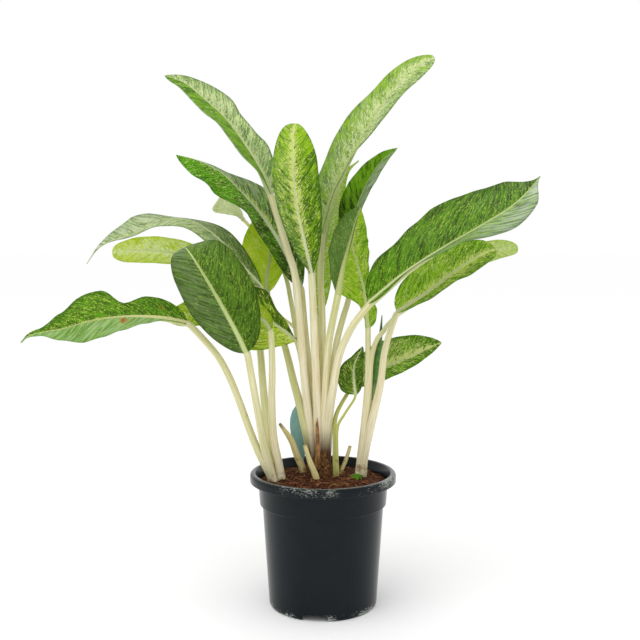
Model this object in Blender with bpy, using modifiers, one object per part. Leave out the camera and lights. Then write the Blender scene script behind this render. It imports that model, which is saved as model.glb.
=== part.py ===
"""A potted chinese evergreen: cream stalks with speckled green leaves in a dark nursery pot.

Every length and place below is in millimetres, with +Z up and +Y away from the front.
The origin is the middle of the pot's underside.
"""
import math
from dataclasses import dataclass

import bmesh
import bpy
import numpy as np
from mathutils import Matrix, Vector

MM = 0.001
GAP = 0.3
OBJECT_NAME = "potted_chinese_evergreen"

# The nursery pot
RIM_TOP_Z = 155.4
RIM_OUTER_R = 85.0
RIM_BOTTOM_Z = 145.1
RIM_INNER_R = 78.4
RIM_CROWN_R = 80.6
RIM_SHOULDER_R = 82.7
TURNED_EDGE_Z = 151.6
COLLAR_TOP_R = 75.4
COLLAR_BOTTOM_R = 73.8
COLLAR_BOTTOM_Z = 118.6
BODY_TOP_R = 70.5
BASE_R = 62.9
WALL = 1.6
FLOOR_TOP_Z = 8.0
FLOOR_UNDERSIDE_Z = 6.2
FLOOR_R = 59.5
SKIRT_INNER_R = 60.5
FOOT_PAD_R = 12.0
ROUND_STEPS = 48
NOTCH_WIDTH = 29.0
NOTCH_HEIGHT = 7.0
NOTCH_CORNER = 2.5
NOTCH_DEPTH = 12.0
NOTCH_ANGLES = (-98.7, 21.3, 141.3)

# The soil: its height at a few distances from the pot's axis
SOIL_RADII = (0.0, 16.0, 32.0, 46.0, 58.0, 67.0)
SOIL_HEIGHTS = (149.0, 149.0, 148.4, 147.2, 145.6, 144.6)
SOIL_EDGE_Z = 144.2
SOIL_BUMP = 0.7
ROUGH_SOIL_R = 66.0
LUMP_WIDTH = 5.3
LUMP_DEPTH = 6.1
SKEW_LUMPS = 90.0
CUTTER_TOP_Z = 160.0

# The blades
MIDRIB_THICKNESS = 2.8
EDGE_THICKNESS = 0.8
MIDRIB_HALF_WIDTH = 2.2
BLADE_COLUMNS = 6
LONG_BLADE_ROWS = 13
SHORT_BLADE_ROWS = 10
SHORT_BLADE_LENGTH = 125.0
BLADE_BASE_HALF_WIDTH = 3.0
BLADE_LEAST_HALF_WIDTH = 0.9
END_CROWDING = 0.1
WAVE_COUNT = 2.5
SPINE_STATIONS = 81

# The stalks
STALK_END_RADIUS = 2.2
STALK_END_LENGTH = 8.0
STALK_SEGMENT = 30.0
STALK_DROP = 1.3
ROOT_Z = 138.0
FOOT_BOTTOM_Z = 115.0
FOOT_SEGMENTS = 24
NEW_LEAF_STATIONS = 9
NEW_LEAF_FOOT_STATIONS = 5


@dataclass
class Half:
    """One side of a blade: its half width, how far it folds up, how it curls and how its edge waves."""
    width: tuple
    fold: tuple
    curl: float = 0.0
    wave: float = 0.0
    phase: float = 0.0


@dataclass
class Leaf:
    """A blade on its stalk. The midrib runs base to tip, and the stalk from the blade to the soil.

    facing is the way the upper face looks, at even stations from base to tip, and outline gives
    the powers that shape the blade's base and tip.
    """
    name: str
    clump: str
    midrib: list
    facing: list
    outline: tuple
    left: Half
    right: Half
    stalk: list
    stalk_radius: tuple


@dataclass
class Clump:
    """Stalks grown together at a foot that stands in the soil."""
    name: str
    foot: tuple
    foot_radius: float
    color: str


CLUMPS = [
    Clump("a", foot=(-51, -8), foot_radius=14.2, color="D9D0B0"),
    Clump("b", foot=(-2, 18), foot_radius=14.6, color="D6CBA6"),
    Clump("c", foot=(44, 12), foot_radius=10.5, color="D8D2B4"),
    Clump("d", foot=(16, 3), foot_radius=5.6, color="B7B45C"),
]

LEAVES = [
    # Clump A: the broad dark leaf that stands in front, its tip rolled back
    Leaf("leaf_a1", "a",
         midrib=[(-83, -74, 303), (-93, -80, 326), (-110, -90, 360), (-125, -94, 387),
                 (-136, -90, 404), (-145, -76, 414), (-151, -56, 416)],
         facing=[(-0.3, -0.8, 0.4), (-0.2, -0.85, 0.4), (-0.3, -0.6, 0.7), (-0.4, -0.2, 0.9)],
         outline=(0.55, 0.5),
         left=Half(width=(34, 34, 31, 24), fold=(8, 4), curl=-10, wave=1.2),
         right=Half(width=(42, 42, 40, 30), fold=(12, 4), curl=-14, wave=1.2, phase=0.4),
         stalk=[(-79, -65, 283), (-76, -50, 256), (-72, -34, 224), (-68, -20, 191), (-62, -13, 166),
                (-55, -10, ROOT_Z)],
         stalk_radius=(3.8, 5.0)),
    # Clump A: the long leaf that reaches far left, with a waved edge
    Leaf("leaf_a2", "a",
         midrib=[(-150, -48, 334), (-174, -50, 339), (-201, -52, 341), (-228, -54, 340), (-255, -56, 336),
                 (-283, -58, 328), (-306, -60, 324), (-321, -60, 320), (-330, -60, 312)],
         facing=[(0.3, -0.75, 0.65), (0, -0.75, 0.65), (-0.1, -0.75, 0.65)],
         outline=(0.6, 0.8),
         left=Half(width=(8, 5, 10, 20, 26, 28, 22, 10, 4), fold=(0,), wave=2.0, phase=0.2),
         right=Half(width=(34, 32, 32, 19, 38, 41, 31, 9, 5), fold=(0,), wave=2.5),
         stalk=[(-134, -48, 322), (-118, -45, 299), (-104, -40, 273), (-93, -32, 242), (-82, -23, 210),
                (-73, -15, 181), (-62, -10, 154), (-58, -9, ROOT_Z)],
         stalk_radius=(3.6, 4.6)),
    # Clump A: the bright upright leaf behind the middle of clump B
    Leaf("leaf_a3", "a",
         midrib=[(-67, 44, 362), (-67, 46, 383), (-63, 50, 406), (-62, 54, 436), (-65, 58, 466)],
         facing=[(0.05, -0.95, 0.2), (0.05, -0.95, 0.2)],
         outline=(0.6, 0.7),
         left=Half(width=(35,), fold=(8, 5)),
         right=Half(width=(21,), fold=(8, 5)),
         stalk=[(-74, 42, 335), (-75, 36, 312), (-73, 28, 277), (-69, 16, 236), (-63, 4, 196),
                (-57, -3, 165), (-53, -4, ROOT_Z)],
         stalk_radius=(4.0, 5.2)),
    # Clump A: the leaf that runs left behind leaf_a1
    Leaf("leaf_a4", "a",
         midrib=[(-59, -37, 324), (-66, -34, 334), (-81, -26, 341), (-103, -14, 344), (-136, -2, 343),
                 (-160, 6, 338), (-181, 12, 334)],
         facing=[(0.1, -0.85, 0.5), (0, -0.85, 0.5)],
         outline=(0.6, 0.5),
         left=Half(width=(20,), fold=(10, 5)),
         right=Half(width=(22,), fold=(10, 5)),
         stalk=[(-57, -38, 306), (-57, -35, 280), (-58, -28, 244), (-57, -17, 201), (-51, -10, 165),
                (-46, -8, ROOT_Z)],
         stalk_radius=(3.6, 5.2)),
    # Clump B: the tall leaf that leans to the upper left
    Leaf("leaf_b1", "b",
         midrib=[(-59, 12, 477), (-70, 16, 502), (-87, 20, 530), (-112, 26, 564), (-138, 30, 588),
                 (-160, 32, 606), (-184, 32, 615)],
         facing=[(0.4, -0.7, 0.6), (0.4, -0.7, 0.6), (0.3, -0.75, 0.6)],
         outline=(0.6, 0.8),
         left=Half(width=(26, 28, 27, 28, 40), fold=(42, 25, 15, 10), wave=1.2),
         right=Half(width=(26, 24, 25, 18, 18, 27, 25, 22, 26), fold=(30, 15), wave=1.5, phase=0.3),
         stalk=[(-50, 8, 445), (-40, 5, 410), (-33, 3, 388), (-29, 1, 355), (-26, 1, 321), (-23, 3, 283),
                (-19, 7, 238), (-13, 12, 190), (-8, 16, ROOT_Z)],
         stalk_radius=(4.0, 5.4)),
    # Clump B: the leaf under leaf_b1, whose right side droops and whose left side stands up
    Leaf("leaf_b2", "b",
         midrib=[(-26, 14, 369), (-43, 20, 408), (-65, 22, 444), (-89, 18, 474), (-116, 10, 501),
                 (-143, 4, 515), (-167, 0, 521)],
         facing=[(-0.1, -0.8, 0.5), (-0.15, -0.6, 0.75), (-0.2, -0.8, 0.55)],
         outline=(0.6, 0.8),
         left=Half(width=(20, 22, 26, 43, 58), fold=(10, 30, 30, 10, -10)),
         right=Half(width=(22, 28, 35, 29, 26), fold=(20, 10, -10, -45, -55)),
         stalk=[(-23, 12, 345), (-20, 12, 308), (-15, 14, 261), (-8, 18, 200), (-5, 21, ROOT_Z)],
         stalk_radius=(3.8, 5.4)),
    # Clump B: the small pale leaf at the back left, widest at its blunt end
    Leaf("leaf_b3", "b",
         midrib=[(-98, 92, 450), (-107, 94, 457), (-117, 96, 462), (-127, 98, 466), (-134, 98, 470)],
         facing=[(0, -0.8, 0.6), (0, -0.8, 0.6)],
         outline=(0.8, 0.18),
         left=Half(width=(11,), fold=(10, 5)),
         right=Half(width=(16,), fold=(10, 5)),
         stalk=[(-86, 86, 440), (-65, 72, 414), (-46, 52, 384), (-38, 42, 350), (-32, 36, 316),
                (-22, 32, 262), (-12, 27, 204), (-7, 23, ROOT_Z)],
         stalk_radius=(2.2, 4.6)),
    # Clump B: the long leaf that arches over to the left, its tip hanging
    Leaf("leaf_b4", "b",
         midrib=[(-73, 22, 372), (-90, 18, 391), (-112, 10, 418), (-139, 2, 441), (-165, -6, 449),
                 (-190, -12, 445), (-211, -16, 432), (-237, -18, 424), (-254, -18, 414), (-267, -18, 397)],
         facing=[(0.5, -0.5, 0.7), (0.2, -0.45, 0.85), (0.1, -0.2, 0.95), (-0.3, -0.25, 0.9),
                 (-0.5, -0.3, 0.8)],
         outline=(0.6, 1.2),
         left=Half(width=(30, 30, 30, 20, 14), fold=(5, 0, -10, 0, 10)),
         right=Half(width=(30, 32, 27, 44, 22), fold=(0, 0, -10, 38, 10)),
         stalk=[(-64, 30, 354), (-55, 36, 327), (-44, 30, 294), (-35, 22, 259), (-28, 17, 234),
                (-22, 14, 210), (-16, 14, 184), (-7, 18, ROOT_Z)],
         stalk_radius=(3.4, 6.4)),
    # Clump B: the pale leaf behind leaf_b4
    Leaf("leaf_b5", "b",
         midrib=[(-126, 100, 385), (-154, 100, 400), (-185, 100, 408), (-223, 100, 412), (-248, 100, 411),
                 (-264, 100, 410)],
         facing=[(0, -0.85, 0.5), (0, -0.85, 0.5)],
         outline=(0.6, 0.4),
         left=Half(width=(16, 18, 22), fold=(10, 5)),
         right=Half(width=(22, 20, 19), fold=(10, 5)),
         stalk=[(-91, 92, 362), (-54, 76, 332), (-33, 64, 315), (-22, 52, 289), (-11, 28, 204),
                (-4, 24, ROOT_Z)],
         stalk_radius=(1.4, 3.5)),
    # Clump B: the low leaf at the middle, seen through the stalks
    Leaf("leaf_b6", "b",
         midrib=[(-32, 9, 308), (-46, 8, 320), (-67, 8, 334), (-91, 12, 347), (-114, 16, 357)],
         facing=[(0.2, -0.9, 0.3), (0.1, -0.9, 0.3)],
         outline=(0.7, 0.7),
         left=Half(width=(36, 45, 42), fold=(5, 5)),
         right=Half(width=(8, 15, 31, 34), fold=(8, 5)),
         stalk=[(-26, 11, 290), (-19, 12, 256), (-10, 15, 202), (-5, 18, ROOT_Z)],
         stalk_radius=(2.6, 4.0)),
    # Clump B: the upright leaf in the middle of the crown
    Leaf("leaf_b7", "b",
         midrib=[(-13, -14, 387), (-20, -24, 418), (-28, -32, 455), (-32, -34, 490), (-33, -26, 523),
                 (-33, -12, 545), (-31, 2, 556)],
         facing=[(0, -0.95, 0.2), (0, -0.95, 0.25), (0, -0.85, 0.5)],
         outline=(0.75, 0.55),
         left=Half(width=(24, 24, 24, 22), fold=(25, 8)),
         right=Half(width=(31, 31, 28, 20), fold=(25, 12)),
         stalk=[(-11, -9, 356), (-10, -5, 315), (-8, 0, 265), (-6, 7, 210), (-2, 13, ROOT_Z)],
         stalk_radius=(4.2, 5.8)),
    # Clump B: the tallest leaf, which leans to the upper right
    Leaf("leaf_b8", "b",
         midrib=[(-2, 12, 432), (8, 12, 470), (23, 12, 502), (37, 12, 529), (55, 12, 560), (76, 12, 590),
                 (101, 10, 618), (126, 8, 632)],
         facing=[(-0.4, -0.7, 0.6), (-0.4, -0.7, 0.6), (-0.3, -0.75, 0.6)],
         outline=(0.55, 0.5),
         left=Half(width=(28, 31, 30, 25, 22), fold=(25, 5), wave=1.2),
         right=Half(width=(30, 24, 24, 28, 36), fold=(50, 45, 20, 0), wave=1.2, phase=0.5),
         stalk=[(-4, 12, 410), (-3, 13, 380), (-1, 15, 331), (0, 18, 206), (-1, 20, ROOT_Z)],
         stalk_radius=(3.8, 5.0)),
    # Clump B: the narrow folded leaf under leaf_b8
    Leaf("leaf_b9", "b",
         midrib=[(34, 26, 418), (38, 28, 445), (46, 30, 471), (59, 32, 497), (74, 34, 518), (89, 34, 532)],
         facing=[(-0.5, -0.8, 0.35), (-0.5, -0.8, 0.4)],
         outline=(0.6, 0.9),
         left=Half(width=(27,), fold=(15, 5)),
         right=Half(width=(20,), fold=(60, 30)),
         stalk=[(33, 28, 389), (31, 28, 360), (24, 27, 334), (17, 25, 308), (13, 24, 281), (8, 22, 220),
                (4, 22, ROOT_Z)],
         stalk_radius=(3.3, 4.8)),
    # Clump B: the leaf that faces away and shows its dull underside
    Leaf("leaf_b10", "b",
         midrib=[(16, -22, 363), (22, -26, 395), (30, -30, 424), (36, -32, 446), (42, -32, 461)],
         facing=[(-0.2, 0.9, 0.3), (-0.2, 0.9, 0.3)],
         outline=(0.6, 0.7),
         left=Half(width=(10,), fold=(60, 60)),
         right=Half(width=(10, 16, 22, 25, 25), fold=(5, 5), curl=-20),
         stalk=[(10, -15, 338), (7, -8, 310), (4, -2, 270), (2, 4, 230), (0, 9, 190), (2, 14, ROOT_Z)],
         stalk_radius=(4.0, 5.6)),
    # Clump B: the narrow bright leaf behind the crown
    Leaf("leaf_b11", "b",
         midrib=[(-4, 32, 334), (-2, 34, 355), (-1, 36, 377), (1, 38, 407), (7, 42, 439), (14, 46, 466),
                 (20, 50, 487), (29, 52, 506), (43, 52, 519)],
         facing=[(0, -0.95, 0.3), (0, -0.95, 0.3)],
         outline=(0.6, 0.8),
         left=Half(width=(12, 13, 14, 12, 6), fold=(10, 5)),
         right=Half(width=(12, 13, 12, 12, 5), fold=(10, 5)),
         stalk=[(-4, 30, 310), (-3, 27, 275), (-3, 22, 206), (-1, 23, ROOT_Z)],
         stalk_radius=(2.4, 4.4)),
    # Clump B: the largest leaf, which reaches far right
    Leaf("leaf_b12", "b",
         midrib=[(51, -35, 355), (67, -41, 369), (88, -46, 387), (117, -50, 407), (146, -54, 425),
                 (175, -56, 442), (202, -56, 459), (220, -54, 475), (235, -52, 493)],
         facing=[(-0.3, -0.65, 0.7), (-0.3, -0.65, 0.7), (-0.3, -0.7, 0.7)],
         outline=(0.5, 0.65),
         left=Half(width=(48, 43, 40, 45, 50, 54, 56, 58, 8), fold=(25, 5), wave=1.5),
         right=Half(width=(32, 31, 31, 34, 41, 49, 52, 45, 8), fold=(30, 42, 38, 15, 5), wave=1.5, phase=0.5),
         stalk=[(40, -30, 342), (35, -28, 331), (28, -24, 318), (21, -19, 302), (16, -13, 283), (12, -7, 258),
                (7, 2, 222), (4, 9, 190), (3, 16, ROOT_Z)],
         stalk_radius=(4.0, 6.2)),
    # Clump C: the upright leaf whose blade starts lower on its right side
    Leaf("leaf_c1", "c",
         midrib=[(52, 2, 323), (50, 2, 344), (47, 4, 369), (40, 6, 395), (34, 6, 421), (37, 4, 441),
                 (42, 2, 461)],
         facing=[(0, -0.95, 0.3), (0, -0.95, 0.3)],
         outline=(0.5, 0.8),
         left=Half(width=(3, 8, 30, 28, 28, 28, 28), fold=(8, 5)),
         right=Half(width=(20, 16, 8, 8, 13, 20, 26, 28, 28), fold=(8, 5)),
         stalk=[(52, 2, 300), (52, 4, 262), (49, 6, 215), (45, 10, 172), (42, 13, ROOT_Z)],
         stalk_radius=(3.2, 5.4)),
    # Clump C: the leaf that reaches right under leaf_b12
    Leaf("leaf_c2", "c",
         midrib=[(85, -4, 342), (101, -4, 352), (120, -4, 365), (142, -2, 382), (163, 0, 397),
                 (182, 2, 408), (198, 4, 414)],
         facing=[(-0.3, -0.7, 0.6), (-0.3, -0.7, 0.6)],
         outline=(0.5, 0.42),
         left=Half(width=(43, 35, 32), fold=(10, 5)),
         right=Half(width=(22, 18, 17, 21, 24), fold=(30, 5), wave=1.2),
         stalk=[(78, -6, 327), (71, -6, 298), (66, -4, 257), (56, 2, 210), (48, 8, 169), (46, 11, ROOT_Z)],
         stalk_radius=(3.6, 5.6)),
    # Clump C: the pale leaf behind leaf_b12, of which the tip shows
    Leaf("leaf_c3", "c",
         midrib=[(108, 58, 352), (137, 58, 376), (166, 58, 396), (196, 58, 410), (220, 58, 415),
                 (236, 58, 414)],
         facing=[(-0.2, -0.8, 0.5), (-0.2, -0.8, 0.5)],
         outline=(0.5, 0.4),
         left=Half(width=(15,), fold=(10, 5)),
         right=Half(width=(8, 8, 12, 17, 19), fold=(10, 5)),
         stalk=[(84, 44, 332), (78, 22, 327), (70, 4, 319), (62, 2, 309), (56, 2, 287), (53, 4, 238),
                (47, 10, 178), (44, 15, ROOT_Z)],
         stalk_radius=(2.4, 4.0)),
    # Clump D: the low dark leaf with dense speckles
    Leaf("leaf_d1", "d",
         midrib=[(34, 22, 251), (51, 31, 261), (74, 36, 273), (97, 36, 283), (121, 34, 294), (141, 32, 303)],
         facing=[(-0.1, -0.75, 0.6), (-0.1, -0.75, 0.6)],
         outline=(0.6, 0.8),
         left=Half(width=(27, 33, 37), fold=(8, 5)),
         right=Half(width=(20,), fold=(20, 10)),
         stalk=[(23, 18, 242), (15, 10, 218), (14, 3, 187), (15, 3, ROOT_Z)],
         stalk_radius=(2.2, 3.6)),
    # Clump D: the small dark leaf that stands behind clump C
    Leaf("leaf_d2", "d",
         midrib=[(38, 5, 245), (36, 5, 262), (36, 5, 278), (41, 5, 291), (46, 5, 301)],
         facing=[(-0.1, -0.95, 0.2), (-0.1, -0.95, 0.2)],
         outline=(0.5, 0.7),
         left=Half(width=(24, 20, 16, 8, 6), fold=(5, 5)),
         right=Half(width=(11,), fold=(5, 5)),
         stalk=[(34, 2, 234), (25, -2, 223), (17, -3, 208), (16, -1, 181), (17, 2, ROOT_Z)],
         stalk_radius=(1.4, 2.6)),
]

# The rolled new leaf of clump C, and the cream foot it stands on
NEW_LEAF_PATH = [(59, 11, 236), (61, 12, 262), (64, 14, 286), (67, 15, 309), (69, 16, 337)]
NEW_LEAF_RADII = (4.2, 4.8, 4.8, 2.2, 0.5)
NEW_LEAF_FOOT = [(58.8, 10.8, 235.4), (55, 10, 205), (49, 11, 172), (46, 12, ROOT_Z)]
NEW_LEAF_FOOT_RADII = (4.0, 4.0)

# Stubs of cut leaves: each path runs from the soil to the cut end
STUBS = {
    "leaf_stub_left": dict(path=[(-23, 20), (-31, 19, 170), (-38, 17, 189), (-51, 13, 209)],
                           radii=(4.4, 3.8, 1.8)),
    "leaf_stub_front": dict(path=[(-8, -11), (-15, -12, 169), (-21, -13, 189)], radii=(3.8, 3.0, 2.2)),
    "leaf_stub_right": dict(path=[(21, 12), (27, 11, 166), (32, 10, 183)], radii=(2.6, 2.3, 2.0)),
}
STUB_BOTTOM_Z = 134.0
STUB_BEND_RISE = 1.2
STUB_SEGMENTS = 7

# The dried sheath: its outline across x and z, and where it stands
SHEATH_OUTLINE = [(-9.5, 138), (-9.5, 165), (-8.6, 190), (-8.8, 210), (-6.5, 219), (-4.6, 205),
                  (-3.6, 185), (-3.0, 165), (-3.0, 138)]
SHEATH_Y = -1.2
SHEATH_THICKNESS = 1.0

# The bare plant label: its outline across x and z, and where it stands
LABEL_OUTLINE = [(-30, 136), (-30, 150), (-34, 172), (-38.5, 188), (-40, 200), (-39.6, 210), (-37, 219),
                 (-33, 225), (-29, 227), (-25, 225), (-21, 219), (-19, 209), (-18.6, 186), (-20.4, 172),
                 (-23, 158), (-24, 150), (-24, 136)]
LABEL_Y = 42.0
LABEL_THICKNESS = 0.8

COLORS = {
    "pot": "23292D",
    "soil": "4A2A18",
    "leaf_top": "3F7A16",
    "new_leaf": "35601A",
    "stub": "C9BE86",
    "dried_sheath": "6B4426",
    "plant_label": "5F9094",
}


def clear_scene():
    """Remove whatever the scene holds."""
    for obj in list(bpy.data.objects):
        bpy.data.objects.remove(obj, do_unlink=True)


def make_collection(name):
    """Add a collection to the scene."""
    collection = bpy.data.collections.new(name)
    bpy.context.scene.collection.children.link(collection)
    return collection


def linear_color(hex_color):
    """Turn an sRGB hex colour into linear values."""
    values = [int(hex_color[i:i + 2], 16) / 255 for i in (0, 2, 4)]
    return [v / 12.92 if v <= 0.04045 else ((v + 0.055) / 1.055) ** 2.4 for v in values] + [1.0]


def paint(obj, hex_color, roughness):
    """Give the object its own material."""
    material = bpy.data.materials.new(obj.name)
    material.use_nodes = True
    shader = material.node_tree.nodes["Principled BSDF"]
    shader.inputs["Base Color"].default_value = linear_color(hex_color)
    shader.inputs["Roughness"].default_value = roughness
    shader.inputs["Metallic"].default_value = 0.0
    obj.data.materials.clear()
    obj.data.materials.append(material)


def add_object(name, data, collection):
    """Link new object data into a collection."""
    obj = bpy.data.objects.new(name, data)
    collection.objects.link(obj)
    return obj


def freeze(obj):
    """Replace the object's data by the mesh that its modifiers give, with loose caps welded."""
    depsgraph = bpy.context.evaluated_depsgraph_get()
    mesh = bpy.data.meshes.new_from_object(obj.evaluated_get(depsgraph))
    bm = bmesh.new()
    bm.from_mesh(mesh)
    bmesh.ops.remove_doubles(bm, verts=bm.verts[:], dist=0.00001)
    bm.to_mesh(mesh)
    bm.free()
    name = obj.name
    place = obj.matrix_world.copy()
    collection = obj.users_collection[0]
    bpy.data.objects.remove(obj, do_unlink=True)
    solid = add_object(name, mesh, collection)
    solid.matrix_world = place
    return solid


def smooth_shading(obj, angle=40.0):
    """Shade the round faces smooth and keep sharp edges."""
    obj.data.shade_smooth()
    obj.data.set_sharp_from_angle(angle=math.radians(angle))


def turned(name, profile, collection):
    """Turn a half section about the Z axis into a solid."""
    mesh = bpy.data.meshes.new(name)
    points = [(r * MM, 0.0, z * MM) for r, z in profile]
    mesh.from_pydata(points, [(i, i + 1) for i in range(len(points) - 1)], [])
    obj = add_object(name, mesh, collection)
    screw = obj.modifiers.new("Turn", "SCREW")
    screw.axis = "Z"
    screw.angle = math.tau
    screw.steps = ROUND_STEPS
    screw.render_steps = ROUND_STEPS
    screw.use_merge_vertices = True
    screw.merge_threshold = 0.00001
    return freeze(obj)


def tube(name, path, radii, collection):
    """Make a round rod along a path, with its radius given at each point."""
    curve = bpy.data.curves.new(name, "CURVE")
    curve.dimensions = "3D"
    curve.bevel_depth = MM
    curve.bevel_resolution = 2
    curve.use_fill_caps = True
    spline = curve.splines.new("POLY")
    spline.points.add(len(path) - 1)
    for point, place, radius in zip(spline.points, path, radii):
        point.co = (*(np.asarray(place, float) * MM), 1.0)
        point.radius = radius
    return freeze(add_object(name, curve, collection))


def plate(name, outline, y, thickness, collection):
    """Make a flat upright plate from its outline across x and z."""
    curve = bpy.data.curves.new(name, "CURVE")
    curve.dimensions = "2D"
    curve.fill_mode = "BOTH"
    curve.extrude = thickness / 2 * MM
    spline = curve.splines.new("POLY")
    spline.points.add(len(outline) - 1)
    for point, (x, z) in zip(spline.points, outline):
        point.co = (x * MM, z * MM, 0.0, 1.0)
    spline.use_cyclic_u = True
    obj = add_object(name, curve, collection)
    obj.matrix_world = Matrix.Translation((0, y * MM, 0)) @ Matrix.Rotation(math.pi / 2, 4, "X")
    bpy.context.view_layer.update()
    return freeze(obj)


def rod(name, radius, bottom, top, place, collection):
    """Make an upright round rod."""
    bm = bmesh.new()
    size = radius * MM
    bmesh.ops.create_cone(bm, cap_ends=True, segments=FOOT_SEGMENTS, radius1=size, radius2=size,
                          depth=(top - bottom) * MM)
    centre = Vector((place[0], place[1], (top + bottom) / 2))
    bmesh.ops.translate(bm, verts=bm.verts[:], vec=centre * MM)
    mesh = bpy.data.meshes.new(name)
    bm.to_mesh(mesh)
    bm.free()
    return add_object(name, mesh, collection)


def box(name, size, centre, collection, corner=0.0):
    """Make a box; corner rounds the edges that run along Y."""
    bm = bmesh.new()
    bmesh.ops.create_cube(bm, size=1.0)
    bmesh.ops.scale(bm, verts=bm.verts[:], vec=[v * MM for v in size])
    if corner:
        along_y = [e for e in bm.edges if abs((e.verts[0].co - e.verts[1].co).y) > size[1] * MM / 2]
        bmesh.ops.bevel(bm, geom=along_y, offset=corner * MM, segments=4, profile=0.5, affect="EDGES")
    bmesh.ops.translate(bm, verts=bm.verts[:], vec=[v * MM for v in centre])
    mesh = bpy.data.meshes.new(name)
    bm.to_mesh(mesh)
    bm.free()
    return add_object(name, mesh, collection)


def mark_as_cutter(obj):
    """Keep a cutting shape out of the model."""
    obj.hide_render = True
    obj.display_type = "WIRE"


def add_boolean(obj, operation, collection):
    """Join or cut the object with every piece of a collection."""
    boolean = obj.modifiers.new(operation.title(), "BOOLEAN")
    boolean.operation = operation
    boolean.solver = "EXACT"
    boolean.operand_type = "COLLECTION"
    boolean.collection = collection


def unit(vectors):
    """Scale vectors to length one."""
    return vectors / np.linalg.norm(vectors, axis=-1, keepdims=True)


def smooth_path(points, count):
    """Run a Catmull-Rom curve through the points and return evenly spaced points on it."""
    points = np.asarray(points, float)
    padded = np.vstack([2 * points[0] - points[1], points, 2 * points[-1] - points[-2]])
    steps = 40
    dense = []
    for i in range(1, len(padded) - 2):
        p0, p1, p2, p3 = padded[i - 1:i + 3]
        for t in np.arange(steps) / steps:
            dense.append(0.5 * (2 * p1 + (p2 - p0) * t + (2 * p0 - 5 * p1 + 4 * p2 - p3) * t ** 2
                                + (3 * p1 - p0 - 3 * p2 + p3) * t ** 3))
    dense = np.array(dense + [padded[-2]])
    travel = np.r_[0.0, np.cumsum(np.linalg.norm(np.diff(dense, axis=0), axis=1))]
    wanted = np.linspace(0, travel[-1], count)
    return np.stack([np.interp(wanted, travel, dense[:, axis]) for axis in range(3)], 1)


def path_length(points):
    """Length of a broken line."""
    return float(np.linalg.norm(np.diff(np.asarray(points, float), axis=0), axis=1).sum())


def at_station(values, s):
    """Ease between values given at even stations from base to tip."""
    if len(values) == 1:
        return float(values[0])
    t = s * (len(values) - 1)
    i = min(int(t), len(values) - 2)
    ease = (t - i) ** 2 * (3 - 2 * (t - i))
    return values[i] * (1 - ease) + values[i + 1] * ease


def half_width(half, outline, s):
    """Width of one side of a blade at a station."""
    if s >= 1.0:
        return 0.0
    rise, fall = outline
    peak = rise / (rise + fall)
    form = s ** rise * (1 - s) ** fall / (peak ** rise * (1 - peak) ** fall)
    base = BLADE_BASE_HALF_WIDTH * max(0.0, 1 - 8 * s)
    return max(at_station(half.width, s) * form, base, BLADE_LEAST_HALF_WIDTH)


def across(width, fold, curl, u):
    """Go a share u of the way from the midrib to the edge: how far sideways and how far up."""
    steps = 12
    angles = [math.radians(fold + curl * u * (i + 0.5) / steps) for i in range(steps)]
    reach = width * u / steps
    return reach * sum(map(math.cos, angles)), reach * sum(map(math.sin, angles))


class Spine:
    """The midrib with its directions: along the leaf, up from its face, and to its left."""

    def __init__(self, leaf):
        self.stations = np.linspace(0, 1, SPINE_STATIONS)
        self.points = smooth_path(leaf.midrib, SPINE_STATIONS)
        self.along = unit(np.gradient(self.points, axis=0))
        facing = unit(np.asarray(leaf.facing, float))
        at = np.linspace(0, 1, len(facing))
        up = np.stack([np.interp(self.stations, at, facing[:, axis]) for axis in range(3)], 1)
        self.up = unit(up - (up * self.along).sum(1, keepdims=True) * self.along)
        self.left = np.cross(self.up, self.along)

    def read(self, values, s):
        """Value of one of the arrays at a station."""
        return np.array([np.interp(s, self.stations, values[:, axis]) for axis in range(3)])


def blade_point(leaf, spine, s, side, u):
    """A point on the upper face. side is 1 on the left and -1 on the right."""
    half = leaf.left if side > 0 else leaf.right
    width = half_width(half, leaf.outline, s)
    sideways, rise = across(width, at_station(half.fold, s), half.curl, u)
    wave = half.wave * u * u * math.sin(math.tau * (WAVE_COUNT * s + half.phase))
    rise += wave * math.sqrt(max(0.0, math.sin(math.pi * s)))
    to_side = side * sideways * spine.read(spine.left, s)
    upwards = rise * spine.read(spine.up, s)
    return spine.read(spine.points, s) + to_side + upwards


def midrib_share(leaf, side, s):
    """How much of a blade's half width the thick midrib takes."""
    half = leaf.left if side > 0 else leaf.right
    width = max(half_width(half, leaf.outline, s), BLADE_LEAST_HALF_WIDTH)
    return min(0.3, MIDRIB_HALF_WIDTH * (1 - 0.6 * s) / width)


def blade_sheet(leaf, spine):
    """The upper face as an open sheet, split into triangles, with a thickness weight at each point."""
    rows = SHORT_BLADE_ROWS if path_length(leaf.midrib) < SHORT_BLADE_LENGTH else LONG_BLADE_ROWS
    middle = BLADE_COLUMNS // 2
    bm = bmesh.new()
    bmesh.ops.create_grid(bm, x_segments=BLADE_COLUMNS, y_segments=rows, size=1.0)
    weights = bm.verts.layers.deform.verify()
    tip_verts = []
    for vert in bm.verts:
        column = round((vert.co.x + 1) / 2 * BLADE_COLUMNS) - middle
        t = (vert.co.y + 1) / 2
        s = t - END_CROWDING * math.sin(math.tau * t)
        side = -1 if column > 0 else 1
        share = (0.0, midrib_share(leaf, side, s), 0.55, 1.0)[abs(column)]
        vert.co = Vector(blade_point(leaf, spine, s, side, share) * MM)
        vert[weights][0] = (1.0, 0.35, 0.0, 0.0)[abs(column)] * max(0.0, 1 - s) ** 1.2
        if t > 1 - 1e-6:
            tip_verts.append(vert)
    bmesh.ops.pointmerge(bm, verts=tip_verts, merge_co=Vector(spine.points[-1] * MM))
    bmesh.ops.triangulate(bm, faces=bm.faces[:], quad_method="SHORT_EDGE")
    mesh = bpy.data.meshes.new(leaf.name)
    bm.to_mesh(mesh)
    bm.free()
    return mesh


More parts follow.
